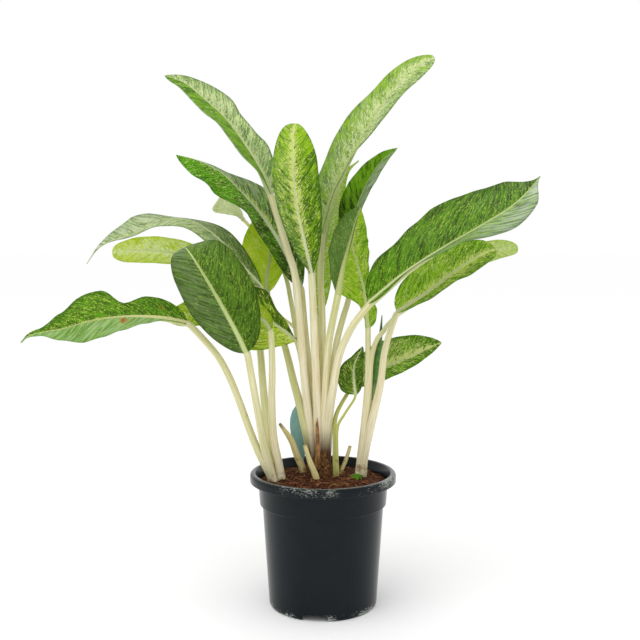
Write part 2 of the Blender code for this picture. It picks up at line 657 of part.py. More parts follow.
def build_blade(leaf, collection):
    """Make the solid blade: its upper face as shaped, its underside a ridge along the midrib."""
    spine = Spine(leaf)
    sheet = blade_sheet(leaf, spine)
    base = Vector(spine.points[0] * MM)
    along = Vector(spine.along[0])
    count = len(sheet.vertices)
    base_row = [v.index for v in sheet.vertices if abs((v.co - base).dot(along)) < 1e-6
                and (v.co - base).length < 1.5 * BLADE_BASE_HALF_WIDTH * MM]
    obj = add_object(leaf.name, sheet, collection)
    obj.vertex_groups.new(name="thickness")
    solidify = obj.modifiers.new("Thickness", "SOLIDIFY")
    solidify.thickness = MIDRIB_THICKNESS * MM
    solidify.offset = -1.0
    solidify.vertex_group = "thickness"
    solidify.thickness_vertex_group = EDGE_THICKNESS / MIDRIB_THICKNESS
    obj = freeze(obj)
    for index in base_row:
        for vert in (obj.data.vertices[index], obj.data.vertices[index + count]):
            vert.co -= along * (vert.co - base).dot(along)
    smooth_shading(obj, 50.0)
    paint(obj, COLORS["leaf_top"], 0.45)
    return spine


def stalk_path(leaf, spine):
    """Points and radii of a stalk, from just short of the blade down to its root."""
    along, up = spine.along[0], spine.up[0]
    end = spine.points[0] - STALK_DROP * up - (GAP + 0.05) * along
    bend = end - STALK_END_LENGTH * along
    whole = [bend] + list(leaf.stalk)
    count = max(5, round(path_length(whole) / STALK_SEGMENT)) + 1
    path = [end] + list(smooth_path(whole, count))
    first, last = leaf.stalk_radius
    radii = [min(STALK_END_RADIUS, first)] + list(np.linspace(first, last, count))
    return path, radii


def build_stalks(clump, spines, collection):
    """Join a clump's stalks and its foot into one piece."""
    members = make_collection("stalks of clump " + clump.name)
    for leaf in LEAVES:
        if leaf.clump == clump.name:
            path, radii = stalk_path(leaf, spines[leaf.name])
            tube("stalk of " + leaf.name, path, radii, members)
    if clump.name == "c":
        path = smooth_path(NEW_LEAF_FOOT, NEW_LEAF_FOOT_STATIONS)
        radii = np.linspace(*NEW_LEAF_FOOT_RADII, NEW_LEAF_FOOT_STATIONS)
        tube("stalk of the new leaf", path, radii, members)
    top = soil_height(math.hypot(*clump.foot)) - 1.0
    obj = rod("stalks_" + clump.name, clump.foot_radius, FOOT_BOTTOM_Z, top, clump.foot, collection)
    add_boolean(obj, "UNION", members)
    obj = freeze(obj)
    for member in list(members.objects):
        bpy.data.objects.remove(member, do_unlink=True)
    bpy.data.collections.remove(members)
    smooth_shading(obj)
    paint(obj, clump.color, 0.5)


def pot_profile():
    """Half section of the pot: up inside from the floor, over the rim, and down the outside."""
    inside = [(0, FLOOR_TOP_Z)] + pot_inside()
    rim = [(RIM_INNER_R, RIM_TOP_Z - 1.2), (RIM_INNER_R + 0.9, RIM_TOP_Z - 0.2),
           (RIM_CROWN_R, RIM_TOP_Z), (RIM_SHOULDER_R, RIM_TOP_Z - 0.4),
           (RIM_OUTER_R - 0.7, RIM_TOP_Z - 1.5), (RIM_OUTER_R, RIM_TOP_Z - 3.2),
           (RIM_OUTER_R, RIM_BOTTOM_Z + 0.7), (RIM_OUTER_R - 0.5, RIM_BOTTOM_Z)]
    turned_under = [(RIM_OUTER_R - 1.4, RIM_BOTTOM_Z), (RIM_OUTER_R - 1.8, RIM_BOTTOM_Z + 0.7),
                    (RIM_OUTER_R - 2.0, TURNED_EDGE_Z), (RIM_SHOULDER_R - 0.9, TURNED_EDGE_Z + WALL),
                    (RIM_CROWN_R - 0.8, RIM_TOP_Z - 2.5)]
    outside = [(COLLAR_TOP_R + 0.5, RIM_BOTTOM_Z + 0.1), (COLLAR_TOP_R, RIM_BOTTOM_Z - 1.5),
               (COLLAR_BOTTOM_R, COLLAR_BOTTOM_Z + 0.9), (COLLAR_BOTTOM_R - 0.4, COLLAR_BOTTOM_Z),
               (BODY_TOP_R + 0.2, COLLAR_BOTTOM_Z - 0.6), (BODY_TOP_R, COLLAR_BOTTOM_Z - 2.1),
               (BASE_R + 0.2, 3.0), (BASE_R - 0.3, 0.7), (BASE_R - 0.9, 0.0)]
    underside = [(SKIRT_INNER_R + 0.4, 0.0), (SKIRT_INNER_R - 0.1, 0.5),
                 (SKIRT_INNER_R, FLOOR_UNDERSIDE_Z - 0.8), (SKIRT_INNER_R - 0.9, FLOOR_UNDERSIDE_Z),
                 (FOOT_PAD_R, FLOOR_UNDERSIDE_Z), (FOOT_PAD_R, 0.4), (FOOT_PAD_R - 0.4, 0.0), (0, 0.0)]
    return inside + rim + turned_under + outside + underside


def pot_inside():
    """The inner wall from the floor to the foot of the rim."""
    return [(FLOOR_R, FLOOR_TOP_Z), (FLOOR_R + 1.8, FLOOR_TOP_Z + 1.6),
            (BODY_TOP_R - WALL, COLLAR_BOTTOM_Z - 4.6), (BODY_TOP_R - WALL + 0.1, COLLAR_BOTTOM_Z - 0.6),
            (COLLAR_BOTTOM_R - WALL - 0.2, COLLAR_BOTTOM_Z + 2.0), (COLLAR_TOP_R - WALL, RIM_BOTTOM_Z - 0.6)]


def build_pot(collection, cutters):
    """Turn the pot and cut the notches in its skirt."""
    obj = turned("pot", pot_profile(), collection)
    for number, angle in enumerate(NOTCH_ANGLES):
        notch = box("notch_cutter_%d" % number, (NOTCH_WIDTH, NOTCH_DEPTH, 2 * NOTCH_HEIGHT),
                    (0, -BASE_R, 0), cutters, NOTCH_CORNER)
        notch.matrix_world = Matrix.Rotation(math.radians(angle + 90), 4, "Z")
        mark_as_cutter(notch)
    add_boolean(obj, "DIFFERENCE", cutters)
    smooth_shading(obj, 35.0)
    paint(obj, COLORS["pot"], 0.35)


def soil_height(radius):
    """Height of the soil at a distance from the pot's axis."""
    return float(np.interp(radius, SOIL_RADII, SOIL_HEIGHTS))


def soil_profile():
    """Half section of the soil: across its top and down along the pot's wall."""
    top = list(zip(SOIL_RADII, SOIL_HEIGHTS))
    wall = [(r - GAP, z + GAP) for r, z in reversed(pot_inside()[2:-1])]
    edge = [(COLLAR_TOP_R - WALL - GAP - 0.1, SOIL_EDGE_Z)]
    bottom = [(FLOOR_R + 1.8 - GAP, FLOOR_TOP_Z + 1.6 + GAP), (FLOOR_R - GAP, FLOOR_TOP_Z + GAP),
              (0, FLOOR_TOP_Z + GAP)]
    return top + edge + wall + bottom


def roughen_soil(obj):
    """Raise and lower the soil's surface a little, away from its edge."""
    for vert in obj.data.vertices:
        x, y, z = vert.co / MM
        if z > SOIL_EDGE_Z and math.hypot(x, y) < ROUGH_SOIL_R:
            lumps = math.sin(x / LUMP_WIDTH + 1) * math.cos(y / LUMP_DEPTH)
            vert.co.z += SOIL_BUMP * MM * (lumps + 0.5 * math.sin(x * y / SKEW_LUMPS))


def build_soil(collection, cutters):
    """Fill the pot with soil and leave a plain hole for each thing that stands in it."""
    obj = turned("soil", soil_profile(), collection)
    roughen_soil(obj)
    for clump in CLUMPS:
        rod("hole_for_clump_" + clump.name, clump.foot_radius + GAP, FOOT_BOTTOM_Z - GAP, CUTTER_TOP_Z,
            clump.foot, cutters)
    for name, stub in STUBS.items():
        rod("hole_for_" + name, stub["radii"][0] + GAP, STUB_BOTTOM_Z - GAP, CUTTER_TOP_Z,
            stub["path"][0], cutters)
    for name, outline, y, thickness in (("sheath", SHEATH_OUTLINE, SHEATH_Y, SHEATH_THICKNESS),
                                        ("label", LABEL_OUTLINE, LABEL_Y, LABEL_THICKNESS)):
        low = min(z for _, z in outline)
        left, right = outline[0][0], outline[-1][0]
        box("hole_for_" + name, (right - left + 2 * GAP, thickness + 2 * GAP, CUTTER_TOP_Z - low + GAP),
            ((left + right) / 2, y, (CUTTER_TOP_Z + low - GAP) / 2), cutters)
    for cutter in cutters.objects:
        mark_as_cutter(cutter)
    add_boolean(obj, "DIFFERENCE", cutters)
    paint(obj, COLORS["soil"], 0.95)


def build_stub(name, stub, collection):
    """Make the stub of a cut leaf: upright in the soil, then leaning."""
    (x, y), *rest = stub["path"]
    ground = soil_height(math.hypot(x, y)) + STUB_BEND_RISE
    lean = smooth_path([(x, y, ground)] + rest, STUB_SEGMENTS)
    path = [(x, y, STUB_BOTTOM_Z)] + list(lean)
    share = np.linspace(0, 1, len(lean))
    given = np.linspace(0, 1, len(stub["radii"]))
    radii = [stub["radii"][0]] + list(np.interp(share, given, stub["radii"]))
    obj = tube(name, path, radii, collection)
    smooth_shading(obj)
    paint(obj, COLORS["stub"], 0.6)


def build_new_leaf(collection):
    """Make the rolled new leaf."""
    path = smooth_path(NEW_LEAF_PATH, NEW_LEAF_STATIONS)
    share = np.linspace(0, 1, NEW_LEAF_STATIONS)
    radii = np.interp(share, np.linspace(0, 1, len(NEW_LEAF_RADII)), NEW_LEAF_RADII)
    obj = tube("new_leaf", path, radii, collection)
    smooth_shading(obj)
    paint(obj, COLORS["new_leaf"], 0.45)


def main():
    """Build the plant in its pot."""
    clear_scene()
    parts = make_collection(OBJECT_NAME)
    build_pot(parts, make_collection("pot_cutters"))
    build_soil(parts, make_collection("soil_cutters"))
    spines = {leaf.name: build_blade(leaf, parts) for leaf in LEAVES}
    for clump in CLUMPS:
        build_stalks(clump, spines, parts)
    build_new_leaf(parts)
    for name, stub in STUBS.items():
        build_stub(name, stub, parts)
    sheath = plate("dried_sheath", SHEATH_OUTLINE, SHEATH_Y, SHEATH_THICKNESS, parts)
    paint(sheath, COLORS["dried_sheath"], 0.8)
    label = plate("plant_label", LABEL_OUTLINE, LABEL_Y, LABEL_THICKNESS, parts)
    paint(label, COLORS["plant_label"], 0.5)


main()
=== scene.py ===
"""The looks of a potted chinese evergreen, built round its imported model."""
import math
from dataclasses import dataclass
from functools import partial

import bpy
import numpy as np
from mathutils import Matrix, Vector, noise


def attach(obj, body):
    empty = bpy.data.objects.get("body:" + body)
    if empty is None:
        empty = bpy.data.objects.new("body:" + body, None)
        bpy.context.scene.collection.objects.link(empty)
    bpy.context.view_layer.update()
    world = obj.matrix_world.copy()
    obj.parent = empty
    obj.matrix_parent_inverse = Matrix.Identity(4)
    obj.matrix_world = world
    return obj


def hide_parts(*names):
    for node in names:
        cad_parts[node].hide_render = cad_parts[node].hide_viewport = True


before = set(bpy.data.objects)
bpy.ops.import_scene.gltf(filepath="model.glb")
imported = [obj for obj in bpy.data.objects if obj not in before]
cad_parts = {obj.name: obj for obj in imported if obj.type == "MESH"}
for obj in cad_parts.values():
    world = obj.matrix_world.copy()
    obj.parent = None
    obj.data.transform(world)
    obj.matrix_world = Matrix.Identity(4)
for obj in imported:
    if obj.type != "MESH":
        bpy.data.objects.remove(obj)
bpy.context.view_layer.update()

MM = 0.001

# Blades, in millimetres
BLADE_ROWS = 64
BLADE_COLUMNS = 24
ROW_CROWDING = 0.1
COLUMN_CROWDING = 1.25
BLADE_EDGE_THICKNESS = 0.5
BLADE_MIDDLE_THICKNESS = 1.6
THICK_WIDTH = 2.5
BLADE_BASE_HALF_WIDTH = 3.0
BLADE_LEAST_HALF_WIDTH = 0.9
CURL_STEPS = 12
WAVE_COUNT = 2.5
RIPPLE_COUNT = 5.3
RIPPLE_SHIFT = 0.37
RIPPLE_HEIGHT = 0.5
RIPPLE_FULL_WIDTH = 12.0
GROOVE_DEPTH = 0.7
GROOVE_WIDTH = 1.5
SPINE_STATIONS = 161
RIB_ROWS = 50
RIB_END = 0.88
RIB_SHARE = 0.97

# Flecks follow the side veins, which leave the midrib at about forty degrees
FLECK_WIDTH = 1.15
FLECK_LENGTH = 2.3
VEIN_LEAN = 0.9
VEIN_CURVE = 0.010
MARGIN = 0.14
PATCHINESS = 0.25

# How far apart the patterns of two leaves, and of a leaf's two sides, are taken
LEAF_STEP = 7.3
SIDE_STEP = 31.0

# Colours that all the leaves share: their dry spots, and the light that comes through
DRY_SPOT = "A5601E"
LIGHT_THROUGH = "B4D42C"

# Stalks, in millimetres
STALK_ROWS = 70
STALK_SIDES = 20
STALK_GROOVE = 0.12
STALK_RIDGES = 9
RIDGE_HEIGHT = 0.015
STALK_DROP = 0.75
STALK_BEND = 7.0
STRANDS_ROUND = 3.0
STRAND_LENGTH = 45.0
ROOT_Z = 138.0
WOODY_TOP_Z = 205.0

# A stalk is dry and brown past a share of its length; this share is past its end
NEVER_DRY = 2.0
DRYING = 0.12

# The pot and the soil, in millimetres
POT_STEPS = 160
NOTCH_ANGLES = (-98.7, 21.3, 141.3)
NOTCH_WIDTH = 29.0
NOTCH_HEIGHT = 7.0
NOTCH_DEPTH = 12.0
NOTCH_CORNER = 2.5
BASE_R = 62.9
SOIL_RADII = (0.0, 16.0, 32.0, 46.0, 58.0, 67.0, 73.3)
SOIL_HEIGHTS = (149.0, 149.0, 148.4, 147.2, 145.6, 144.6, 144.2)
SOIL_STEPS = 240
SOIL_RINGS = 90
SOIL_TOP_RINGS = 74
PLUG_RADII = (0, 73.3, 68.6, 61.0, 0)
PLUG_HEIGHTS = (0, 144, 114, 8.4, 8.4)
LUMP_SIZE = 9.0
LUMP_HEIGHT = 1.5
CRUMB_SIZE = 2.2
CRUMB_HEIGHT = 0.8
SOIL_REACH = 71.0
CRUMB_COUNT = 330
CHIP_COUNT = 45
FIBRE_COUNT = 110
FIBRE_RADII = (0.22, 0.35, 0.22)
MOSS_COUNT = 90
MOSS_PLACE = (40.0, -3.0)
MOSS_SPREAD = 2.1
MOSS_HEIGHT = 3.0
MOSS_FALL = 12.0

# The pot's wall in section, once round: inside, rim, outside, skirt and underside
POT_SECTION = [(0, 8), (59.5, 8), (60.8, 8.6), (61.3, 9.6), (68.9, 114), (69.1, 118), (72, 120.6),
               (73.8, 144.5), (76.6, 151), (78.4, 154.2), (78.8, 154.9), (79.4, 155.25), (80.6, 155.4),
               (82.2, 155.25), (83.6, 154.6), (84.5, 153.7), (84.95, 152.4), (85, 151), (85, 146.2),
               (84.9, 145.5), (84.5, 145.1), (83.7, 145.1), (83.3, 145.5), (83.2, 146.2), (83, 151.6),
               (81.8, 153.2), (79.8, 152.9), (75.9, 145.2), (75.4, 143.6), (73.8, 119.7), (73.7, 119.1),
               (73.3, 118.7), (71, 118.2), (70.75, 117.7), (70.5, 116.5), (63.1, 3), (62.95, 1.6),
               (62.6, 0.7), (62, 0.1), (61.4, 0), (60.9, 0.1), (60.5, 0.5), (60.5, 5.4), (59.6, 6.2),
               (12, 6.2), (12, 0.4), (11.6, 0), (0, 0)]

# The brown woody crown of clump B, rough old sheaths round the stalks' feet: place, radius and top
CROWN_SHEATHS = [(-12, 9, 6.0, 162), (-7, 4, 6.0, 170), (-1, 2, 6.0, 173), (5, 3, 5.5, 169),
                 (10, 8, 5.0, 163), (-14, 16, 5.5, 158), (3, -2, 5.0, 160), (-5, -1, 5.0, 160),
                 (0, 6, 6.0, 178)]
CROWN_FOOT_Z = 146.0
CROWN_ROUGHNESS = 2.2
CROWN_STRANDS = 9
CROWN_STRAND_RADII = (0.7, 0.5, 0.25)

# The small pieces, in millimetres
NEW_LEAF_PATH = [(59, 11, 236), (61, 12, 262), (64, 14, 286), (67, 15, 309), (69, 16, 337)]
NEW_LEAF_RADII = (4.2, 4.8, 4.8, 2.2, 0.5)
NEW_LEAF_FOOT = [(59, 11, 238), (55, 10, 205), (49, 11, 172), (46, 12, ROOT_Z)]
NEW_LEAF_GREENS = (0.6, 0.2, 0.0)
STUBS = {
    "leaf_stub_left": dict(path=[(-23, 20, 136), (-23, 20, 150), (-31, 19, 170), (-38, 17, 189),
                                 (-51, 13, 209)], radii=(4.4, 4.4, 4.0, 3.5, 1.8), dry=0.9),
    "leaf_stub_front": dict(path=[(-8, -11, 136), (-8, -11, 150), (-15, -12, 169), (-21, -13, 189)],
                            radii=(3.8, 3.8, 3.0, 2.2), dry=0.95),
    "leaf_stub_right": dict(path=[(21, 12, 136), (21, 12, 150), (27, 11, 166), (32, 10, 183)],
                            radii=(2.6, 2.6, 2.3, 2.0), dry=0.95),
}
STUB_GREENS = (0.3, 0.1)
SHEATH_OUTLINE = [(-9.5, 138), (-9.5, 165), (-8.6, 190), (-8.8, 210), (-6.5, 219), (-4.6, 205),
                  (-3.6, 185), (-3.0, 165), (-3.0, 138)]
SHEATH_Y = -1.2
LABEL_OUTLINE = [(-30, 136), (-30, 150), (-34, 172), (-38.5, 188), (-40, 200), (-39.6, 210), (-37, 219),
                 (-33, 225), (-29, 227), (-25, 225), (-21, 219), (-19, 209), (-18.6, 186),
                 (-20.4, 172), (-23, 158), (-24, 150), (-24, 136)]
LABEL_Y = 42.0
PLATE_THICKNESS = 0.8

# The studio: the floor, lamp and camera, in metres, watts and degrees
FLOOR_SIZE = 80.0
FLOOR_GAP = 0.0004
LAMP_SIZE = 1.8
LAMP_POWER = 14.0
LAMP_PLACE = (-0.7, -0.9, 2.2)
LAMP_AIM = (0, 0, 0.3)
CAMERA_PLACE = (-0.0035, -1.070, 0.419)
CAMERA_PITCH = 85.37
CAMERA_LENS = 52.4


@dataclass
class Half:
    """One side of a blade: half widths, how far it folds up, how it curls and how its edge waves."""
    width: tuple | float
    fold: tuple | float
    curl: float = 0.0
    wave: float = 0.0
    phase: float = 0.0


@dataclass
class Marks:
    """How a blade is coloured: its dark green, its light green, its flecks and the rest.

    Pairs are for the left and the right side, and values in a row run base to tip. near and far are
    how thickly flecks stand beside the midrib and further out, and band is how far the near ones
    reach. shade is 0 dark to 1 light: partly the leaf's own greens and partly painted shade, darker
    where a blade lies deep in the crown or under other leaves. The two pairs after shade are how
    silver the face and its edge are; this silver is partly the leaf's own silver-grey variegation
    and partly painted sheen.
    Each brown spot is a place along, a place across and a size.
    """
    dark: str
    light: str
    fleck: str
    cream: str = "DDE2B4"
    silver_and_sheen: str = "B4C0A8"
    under: str = "7E9370"
    rib: float = 2.2
    near: tuple = (0.4, 0.4)
    far: tuple = (0.2, 0.2)
    band: float = 0.25
    shade: tuple = (0.5, 0.5)
    silver_and_sheen_amount: tuple = (0, 0)
    edge: tuple = (0, 0)
    glow: float = 0.25
    brown: tuple = ()


@dataclass
class Leaf:
    """A blade on its stalk, named for its clump. The midrib runs base to tip, in millimetres.

    The stalk runs from the blade to the soil. radii are the stalk's at its blade and foot, and
    greens are how green it is at its blade, half way and at its foot.
    """
    name: str
    outline: tuple
    radii: tuple
    greens: tuple
    midrib: list
    facing: list
    left: Half
    right: Half
    stalk: list
    marks: Marks


LEAVES = [
    # Clump A: the broad dark leaf that stands in front, its tip rolled back
    Leaf("a1", outline=(0.55, 0.5), radii=(3.8, 5.0), greens=(0.6, 0.45, 0.2),
         midrib=[(-83, -74, 303), (-93, -80, 326), (-110, -90, 360), (-125, -94, 387), (-136, -90, 404),
                 (-145, -76, 414), (-151, -56, 416)],
         facing=[(-0.3, -0.8, 0.4), (-0.2, -0.85, 0.4), (-0.3, -0.6, 0.7), (-0.4, -0.2, 0.9)],
         left=Half((34, 34, 31, 24), (8, 4), curl=-10, wave=1.2),
         right=Half((42, 42, 40, 30), (12, 4), curl=-14, wave=1.2, phase=0.4),
         stalk=[(-79, -65, 283), (-76, -50, 256), (-72, -34, 224), (-68, -20, 191), (-62, -13, 166),
                (-55, -10, ROOT_Z)],
         marks=Marks("2F4710", "4F741E", "8CB03A", cream="C8D690", silver_and_sheen="869A6C", rib=3.2,
                     near=(0.3, 0.3), far=(0.06, 0.16), band=0.15, shade=(0.3, (0.4, 0.6, 0.5)),
                     silver_and_sheen_amount=((0.3, 0.4, 0.5, 0.7), (0, 0, 0.1, 0.5)), glow=0.1)),
    # The long leaf that reaches far left, with a waved edge
    Leaf("a2", outline=(0.6, 0.8), radii=(3.6, 4.6), greens=(0.5, 0.5, 0.35),
         midrib=[(-150, -48, 334), (-174, -50, 339), (-201, -52, 341), (-228, -54, 340), (-255, -56, 336),
                 (-283, -58, 328), (-306, -60, 324), (-321, -60, 320), (-330, -60, 312)],
         facing=[(0.3, -0.75, 0.65), (0, -0.75, 0.65), (-0.1, -0.75, 0.65)],
         left=Half((8, 5, 10, 20, 26, 28, 22, 10, 4), 0, wave=2.0, phase=0.2),
         right=Half((34, 32, 32, 19, 38, 41, 31, 9, 5), 0, wave=2.5),
         stalk=[(-134, -48, 322), (-119, -45, 299), (-105, -40, 273), (-94, -32, 242), (-84, -23, 210),
                (-74, -15, 181), (-62, -10, 154), (-58, -9, ROOT_Z)],
         marks=Marks("335E0A", "5B9414", "B8D458", cream="E2E0A0", silver_and_sheen="A6C486", near=(0.2, 0.25),
                     far=(0.06, 0.18), band=0.15, shade=(0.9, 0.4), silver_and_sheen_amount=((0.8, 1.0, 1.0, 0.9), 0),
                     brown=[(0.37, 0.3, 5.0), (0.16, -0.5, 2.0)])),
    # The upright leaf behind the middle of clump B, its greens painted bright for the light shining through
    # it
    Leaf("a3", outline=(0.6, 0.7), radii=(4.0, 5.2), greens=(0.8, 0.7, 0.5),
         midrib=[(-67, 44, 362), (-67, 46, 383), (-63, 50, 406), (-62, 54, 436), (-65, 58, 466)],
         facing=[(0.05, -0.95, 0.2)], left=Half(35, (8, 5)), right=Half(21, (8, 5)),
         stalk=[(-74, 42, 335), (-75, 36, 312), (-73, 28, 277), (-69, 16, 236), (-63, 4, 196),
                (-57, -3, 165), (-53, -4, ROOT_Z)],
         marks=Marks("ADD018", "D5E838", "EEF27A", far=(0.3, 0.3), band=0.35,
                     shade=((0.2, 0.6, 0.9), (0.3, 0.7, 1.0)), glow=0.5)),
    # The leaf that runs left behind a1
    Leaf("a4", outline=(0.6, 0.5), radii=(3.6, 5.2), greens=(0.75, 0.2, 0),
         midrib=[(-59, -37, 324), (-66, -34, 334), (-81, -26, 341), (-103, -14, 344), (-136, -2, 343),
                 (-160, 6, 338), (-181, 12, 334)],
         facing=[(0.1, -0.85, 0.5), (0, -0.85, 0.5)], left=Half(20, (10, 5)), right=Half(22, (10, 5)),
         stalk=[(-57, -38, 306), (-57, -35, 280), (-58, -28, 244), (-57, -17, 201), (-51, -10, 165),
                (-46, -8, ROOT_Z)],
         marks=Marks("8FB010", "BDD224", "EEF29A", glow=0.5)),
    # Clump B: the tall leaf that leans to the upper left
    Leaf("b1", outline=(0.6, 0.8), radii=(4.0, 5.4), greens=(0.35, 0.05, 0),
         midrib=[(-59, 12, 477), (-70, 16, 502), (-87, 20, 530), (-112, 26, 564), (-138, 30, 588),
                 (-160, 32, 606), (-184, 32, 615)],
         facing=[(0.4, -0.7, 0.6), (0.4, -0.7, 0.6), (0.3, -0.75, 0.6)],
         left=Half((26, 28, 27, 28, 40), (42, 25, 15, 10), wave=1.2),
         right=Half((26, 24, 25, 18, 18, 27, 25, 22, 26), (30, 15), wave=1.5, phase=0.3),
         stalk=[(-50, 8, 445), (-40, 5, 410), (-33, 3, 388), (-29, 1, 355), (-26, 1, 321), (-23, 3, 283),
                (-19, 7, 238), (-13, 12, 190), (-8, 16, ROOT_Z)],
         marks=Marks("3D6C10", "7DAE2C", "DCE8A4", cream="DDE4B0", silver_and_sheen="C2D0AE", rib=2.8,
                     near=(0.1, 0.42), far=(0.06, 0.36), band=0.45, shade=((1.0, 0.8, 0.6), 0.3),
                     silver_and_sheen_amount=(0, (0.4, 0.65, 0.75, 0.6)), edge=(0.9, 0))),
    # The leaf under b1, whose right side droops and whose left side stands up
    Leaf("b2", outline=(0.6, 0.8), radii=(3.8, 5.4), greens=(0.5, 0.45, 0.2),
         midrib=[(-26, 14, 369), (-43, 20, 408), (-65, 22, 444), (-89, 18, 474), (-116, 10, 501),
                 (-143, 4, 515), (-167, 0, 521)],
         facing=[(-0.1, -0.8, 0.5), (-0.15, -0.6, 0.75), (-0.2, -0.8, 0.55)],
         left=Half((20, 22, 26, 43, 58), (10, 30, 30, 10, -10)),
         right=Half((22, 28, 35, 29, 26), (20, 10, -10, -45, -55)),
         stalk=[(-23, 12, 345), (-20, 12, 308), (-15, 14, 261), (-8, 18, 200), (-5, 21, ROOT_Z)],
         marks=Marks("20400A", "519A04", "DCE88A", cream="E6ECC8", silver_and_sheen="BCCAA6", rib=3.6,
                     near=(0.25, 0.6), far=(0.14, 0.12), band=0.22,
                     shade=((0, 0.3, 0.8, 0.9), (0, 0.4, 0.7)), silver_and_sheen_amount=(0, (0, 0.1, 0.8, 0.9)),
                     edge=(0, 0.8))),
    # The small pale leaf at the back left, widest at its blunt end
    Leaf("b3", outline=(0.8, 0.18), radii=(2.2, 4.6), greens=(0.8, 0.7, 0.5),
         midrib=[(-98, 92, 450), (-107, 94, 457), (-117, 96, 462), (-127, 98, 466), (-134, 98, 470)],
         facing=[(0, -0.8, 0.6)], left=Half((4, 9, 12), (10, 5)), right=Half((15, 16, 16), (10, 5)),
         stalk=[(-86, 86, 440), (-65, 72, 414), (-46, 52, 384), (-38, 42, 350), (-32, 36, 316),
                (-22, 32, 262), (-12, 27, 204), (-7, 23, ROOT_Z)],
         marks=Marks("CDD694", "E7E9B8", "F2F5DC", near=(0.3, 0.3), far=(0.25, 0.25), glow=0.4)),
    # The long leaf that arches over to the left, its tip hanging
    Leaf("b4", outline=(0.6, 1.2), radii=(3.4, 6.4), greens=(0.7, 0.6, 0.45),
         midrib=[(-73, 22, 372), (-90, 18, 391), (-112, 10, 418), (-139, 2, 441), (-165, -6, 449),
                 (-190, -12, 445), (-211, -16, 432), (-237, -18, 424), (-254, -18, 414), (-267, -18, 397)],
         facing=[(0.5, -0.5, 0.7), (0.2, -0.45, 0.85), (0.1, -0.2, 0.95), (-0.3, -0.25, 0.9),
                 (-0.5, -0.3, 0.8)], left=Half((30, 30, 30, 20, 14), (5, 0, -10, 0, 10)),
         right=Half((30, 32, 27, 44, 22), (0, 0, -10, 38, 10)),
         stalk=[(-64, 30, 354), (-55, 36, 327), (-44, 30, 294), (-35, 22, 259), (-28, 17, 234),
                (-22, 14, 210), (-16, 14, 184), (-7, 18, ROOT_Z)],
         marks=Marks("416416", "83A04A", "D2E098", silver_and_sheen="CCD6BC", near=(0.3, 0.3), far=(0.22, 0.2),
                     shade=((0.6, 0.8, 0.6), (0.1, 0.2, 0.5)),
                     silver_and_sheen_amount=((0.3, 0.4, 0.5, 0.8, 1.0), (0, 0.1, 0.5, 0.9, 1.0)), glow=0.2)),
    # The pale leaf behind b4, its greens painted bright for the light shining through it
    Leaf("b5", outline=(0.6, 0.4), radii=(1.4, 3.5), greens=(0.8, 0.7, 0.5),
         midrib=[(-126, 100, 385), (-154, 100, 400), (-185, 100, 408), (-223, 100, 412), (-248, 100, 411),
                 (-264, 100, 410)],
         facing=[(0, -0.85, 0.5)], left=Half((16, 18, 22), (10, 5)), right=Half((22, 20, 19), (10, 5)),
         stalk=[(-91, 92, 362), (-54, 76, 332), (-33, 64, 315), (-22, 52, 289), (-11, 28, 204),
                (-4, 24, ROOT_Z)],
         marks=Marks("B9D01C", "DFE85C", "F2F6CC", near=(0.6, 0.5), far=(0.25, 0.3), band=0.5,
                     shade=((0.8, 0.6, 0.4), (0.2, 0.4, 0.6)), glow=0.5)),
    # The low leaf at the middle, seen through the stalks
    Leaf("b6", outline=(0.7, 0.7), radii=(2.6, 4.0), greens=(0.8, 0.6, 0.4),
         midrib=[(-32, 9, 308), (-46, 8, 320), (-67, 8, 334), (-91, 12, 347), (-114, 16, 357)],
         facing=[(0.2, -0.9, 0.3), (0.1, -0.9, 0.3)], left=Half((36, 45, 42), (5, 5)),
         right=Half((8, 15, 31, 34), (8, 5)),
         stalk=[(-26, 11, 290), (-19, 12, 256), (-10, 15, 202), (-5, 18, ROOT_Z)],
         marks=Marks("335C04", "A9CC12", "E8F080", near=(0.3, 0.2), far=(0.35, 0.12), band=0.4,
                     shade=((0.8, 0.9, 1.0), (0, 0.1, 0.2)), glow=0.3)),
    # The upright leaf in the middle of the crown
    Leaf("b7", outline=(0.75, 0.55), radii=(4.2, 5.8), greens=(0.35, 0, 0),
         midrib=[(-13, -14, 387), (-20, -24, 418), (-28, -32, 455), (-32, -34, 490), (-33, -26, 523),
                 (-33, -12, 545), (-31, 2, 556)],
         facing=[(0, -0.95, 0.2), (0, -0.95, 0.25), (0, -0.85, 0.5)], left=Half((24, 24, 24, 22), (25, 8)),
         right=Half((31, 31, 28, 20), (25, 12)),
         stalk=[(-11, -9, 356), (-10, -5, 315), (-8, 0, 265), (-6, 7, 210), (-2, 13, ROOT_Z)],
         marks=Marks("356600", "8FBE04", "DEE884", cream="ECECC4", silver_and_sheen="90AA7C", rib=2.0,
                     near=(0.66, 0.5), far=(0.22, 0.12), band=0.34, shade=((0.1, 0.4, 1.0), (0, 0.2, 0.9)),
                     silver_and_sheen_amount=((0.15, 0.35, 0.1), 0), edge=(0.3, 0))),
    # The tallest leaf, which leans to the upper right
    Leaf("b8", outline=(0.55, 0.5), radii=(3.8, 5.0), greens=(0.6, 0.4, 0.2),
         midrib=[(-2, 12, 432), (8, 12, 470), (23, 12, 502), (37, 12, 529), (55, 12, 560), (76, 12, 590),
                 (101, 10, 618), (126, 8, 632)],
         facing=[(-0.4, -0.7, 0.6), (-0.4, -0.7, 0.6), (-0.3, -0.75, 0.6)],
         left=Half((28, 31, 30, 25, 22), (25, 5), wave=1.2),
         right=Half((30, 24, 24, 28, 36), (50, 45, 20, 0), wave=1.2, phase=0.5),
         stalk=[(-4, 12, 410), (-3, 13, 380), (-1, 15, 331), (0, 18, 206), (-1, 20, ROOT_Z)],
